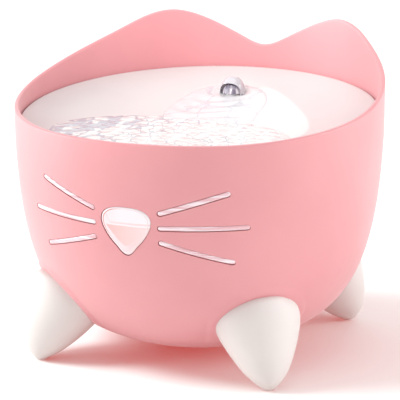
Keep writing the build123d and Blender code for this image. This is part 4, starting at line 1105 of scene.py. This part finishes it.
finishes.update({
    # Open-cell polyether foam: cells near a millimetre, with painted shade where they are deep.
    "foam": speckled("open_cell_foam", 1.1, 0.5, ("#F6F6F8", "#C9CBD2"), 0.8),
    # Needled polyester felt: matted fibres a few millimetres long.
    "felt": speckled("needled_polyester_felt", 0.7, 0.2, ("#E9E9E7", "#F7F7F5"), 0.9, 0.0, (1, 4, 1)),
    # Activated carbon granules in a fine mesh bag.
    "granules": speckled("carbon_granules", 1.8, 0.8, ("#2C2C2E", "#0B0B0C"), 0.6),
    # Stainless steel, turned: fine rings leave a soft streak.
    "screw_steel": speckled("turned_stainless_steel", 0.4, 0.01, ("#B9BABD", "#D5D6D8"), 0.3, 1.0,
                            (1, 1, 6)),
    # Electrical steel sheets, half a millimetre each, stacked flat.
    "core_steel": speckled("laminated_steel", 1.0, 0.05, ("#5A5C60", "#7C7E83"), 0.4, 1.0,
                           (0.02, 0.02, 2)),
    # Enamelled copper wire, wound in rows.
    "copper_coil": speckled("enamelled_copper_winding", 0.8, 0.1, ("#8E4A22", "#C77B45"), 0.35, 1.0,
                            (0.05, 1, 0.05)),
    # Sintered ferrite: dark grey and dull.
    "magnet": speckled("sintered_ferrite", 0.3, 0.01, ("#2B2B2D", "#363638"), 0.55, 0.0, (1, 1, 1)),
})
print(len(finishes), "finishes in all")

# %% [markdown]
# ## Dressing the rest
# The cap rides on its own body, because it lifts off. The water rides on the tray and goes up
# with it. The CAD nodes that no new piece stands for keep their own meshes and only get a
# finish, by the slot that the record gives each of them.

# %% Dress what is left
dress(cap, "spout", cap_clear, "white_plastic", "spout_cap")
dress(pool, "tray", pool_water, "clear_plastic")
dress(sheet, "tray", sheet_water, "clear_plastic")
dress(spring, "tray", spring_water_painted_shade, "clear_plastic")
for part in frame["record"]["subparts"]:
    mesh = frame["nodes"][part["node"]].data
    mesh.materials.clear()
    mesh.materials.append(finishes[part["material_slot"]])

# %% [markdown]
# ## Floor
# A studio's sweep of white card curves up behind the object. The camera looks down, so a large
# flat square does the same here. A white floor in white light has grey shade, but near a pink
# moulding the shade looks rosy, because the bowl's colour spills into it. That spill is weak in
# a render this bright. So the rosy shade is painted: the floor is a cool pale tone that glows a
# little red, though it is no lamp. In full light both add up to white, and in the shade the glow
# is what is left. The glow also lights the bowl's underside a little red, as painted bounce light.

# %% Floor
FLOOR_HALF = 8.0                        # half the floor's side, metres
CARD_PATCH = 333.0                      # size of the patches of tone in the card, mm
square = [(x * FLOOR_HALF, y * FLOOR_HALF, 0) for x, y in ((-1, -1), (1, -1), (1, 1), (-1, 1))]
floor_mesh = bpy.data.meshes.new("studio_floor")
floor_mesh.from_pydata(square, [], [(0, 1, 2, 3)])
floor = bpy.data.objects.new("studio_floor", floor_mesh)
bpy.context.scene.collection.objects.link(floor)
paint, tree, shader, place = start_material("white_sweep_painted_rosy_shade")
unevenness = add(tree, "TexNoise", {"Vector": place, "Scale": 1 / (CARD_PATCH * MM)}).outputs["Fac"]
# Painted rosy shade: a cool base tone that the red glow below brings to white in full light.
tree.links.new(ramp(tree, unevenness, [(0.3, "#B5D2D1"), (0.7, "#B7D4D3")]), shader.inputs["Base Color"])
shader.inputs["Roughness"].default_value = 0.8
shader.inputs["Specular IOR Level"].default_value = 0.1
# The red glow is no lamp: it paints the rosy shade and a faint red light on the bowl's underside.
shader.inputs["Emission Color"].default_value = linear("#A02922")
shader.inputs["Emission Strength"].default_value = 1.0
floor_mesh.materials.append(paint)
print("floor:", 2 * FLOOR_HALF, "m square")

# %% [markdown]
# ## Lamps
# Large lamps close to a small object give soft light with broad edges. The strong one stands
# left, a weaker one right, a faint one front right and one above. The lamp behind is there to be
# mirrored: the polished tray shows it as a white band, with the outline of the ears in it. A
# narrow spot lights the inside of the ears from the front. An HDRI could do all this in one, but
# then no lamp could be moved by itself.

# %% Soft lamps
def lamp_of(kind, name, place, aim):
    """A lamp of a kind at a place, turned to face a point, both in metres."""
    made = bpy.data.objects.new(name, bpy.data.lights.new(name, kind))
    made.location = place
    made.rotation_euler = (Vector(place) - Vector(aim)).to_track_quat("Z", "Y").to_euler()
    bpy.context.scene.collection.objects.link(made)
    return made


def soft_lamp(name, place, aim, size, power, colour="#FFFFFF"):
    """A square lamp at a place, turned to face a point, in metres and watts."""
    made = lamp_of("AREA", name, place, aim)
    made.data.size, made.data.energy, made.data.color = size, power, linear(colour)[:3]
    return made


BOWL_MIDDLE = (0, 0, 0.1)
soft_lamp("lamp_left", (-1.53, -0.48, 0.5), BOWL_MIDDLE, 1.2, 27, "#F4FFFF")
soft_lamp("lamp_right", (1.5, 0.5, 0.6), BOWL_MIDDLE, 1.0, 14, "#F4FFFF")
soft_lamp("lamp_front_right", (1.59, -0.21, 0.6), BOWL_MIDDLE, 1.2, 3)
soft_lamp("lamp_top", (0.0, -0.1, 1.8), BOWL_MIDDLE, 1.4, 8)
back_lamp = soft_lamp("lamp_back", (-1.2, 2.3, 1.1), (0, -0.05, 0.15), 2.6, 9)
back_lamp.data.shape, back_lamp.data.size_y = "RECTANGLE", 1.8
ear_spot = lamp_of("SPOT", "lamp_ears", (-0.15, -1.6, 1.05), (0, 0.11, 0.175)).data
ear_spot.energy, ear_spot.spot_size = 110, radians(8)
ear_spot.spot_blend, ear_spot.shadow_soft_size = 0.8, 0.05

# %% [markdown]
# ## The floor's own sun
# A studio's white sweep is lit by itself, brighter than the object on it. Light linking does
# the same here: a sun that only the floor receives. A sun is as strong far away as near, so the
# floor stays white up to its edge, and a wide one gives the shadow a soft edge. The bowl and
# its feet still stop its light, so their shadow falls on the floor, to the right.

# %% Floor's sun, and the white surroundings
floor_only = bpy.data.collections.new("floor_only")
floor_only.objects.link(floor)
floor_sun = lamp_of("SUN", "lamp_sweep", (-1.4, -0.8, 1.65), (0, -0.2, 0))
floor_sun.data.energy, floor_sun.data.angle = 3.3, radians(24)
floor_sun.light_linking.receiver_collection = floor_only
world = bpy.data.worlds.new("studio_world")
world.use_nodes = True
world.node_tree.nodes["Background"].inputs["Color"].default_value = linear("#FFFFFF")
world.node_tree.nodes["Background"].inputs["Strength"].default_value = 0.72
bpy.context.scene.world = world
bpy.context.scene.view_settings.view_transform = "Standard"
print("only the floor receives", floor_sun.name)
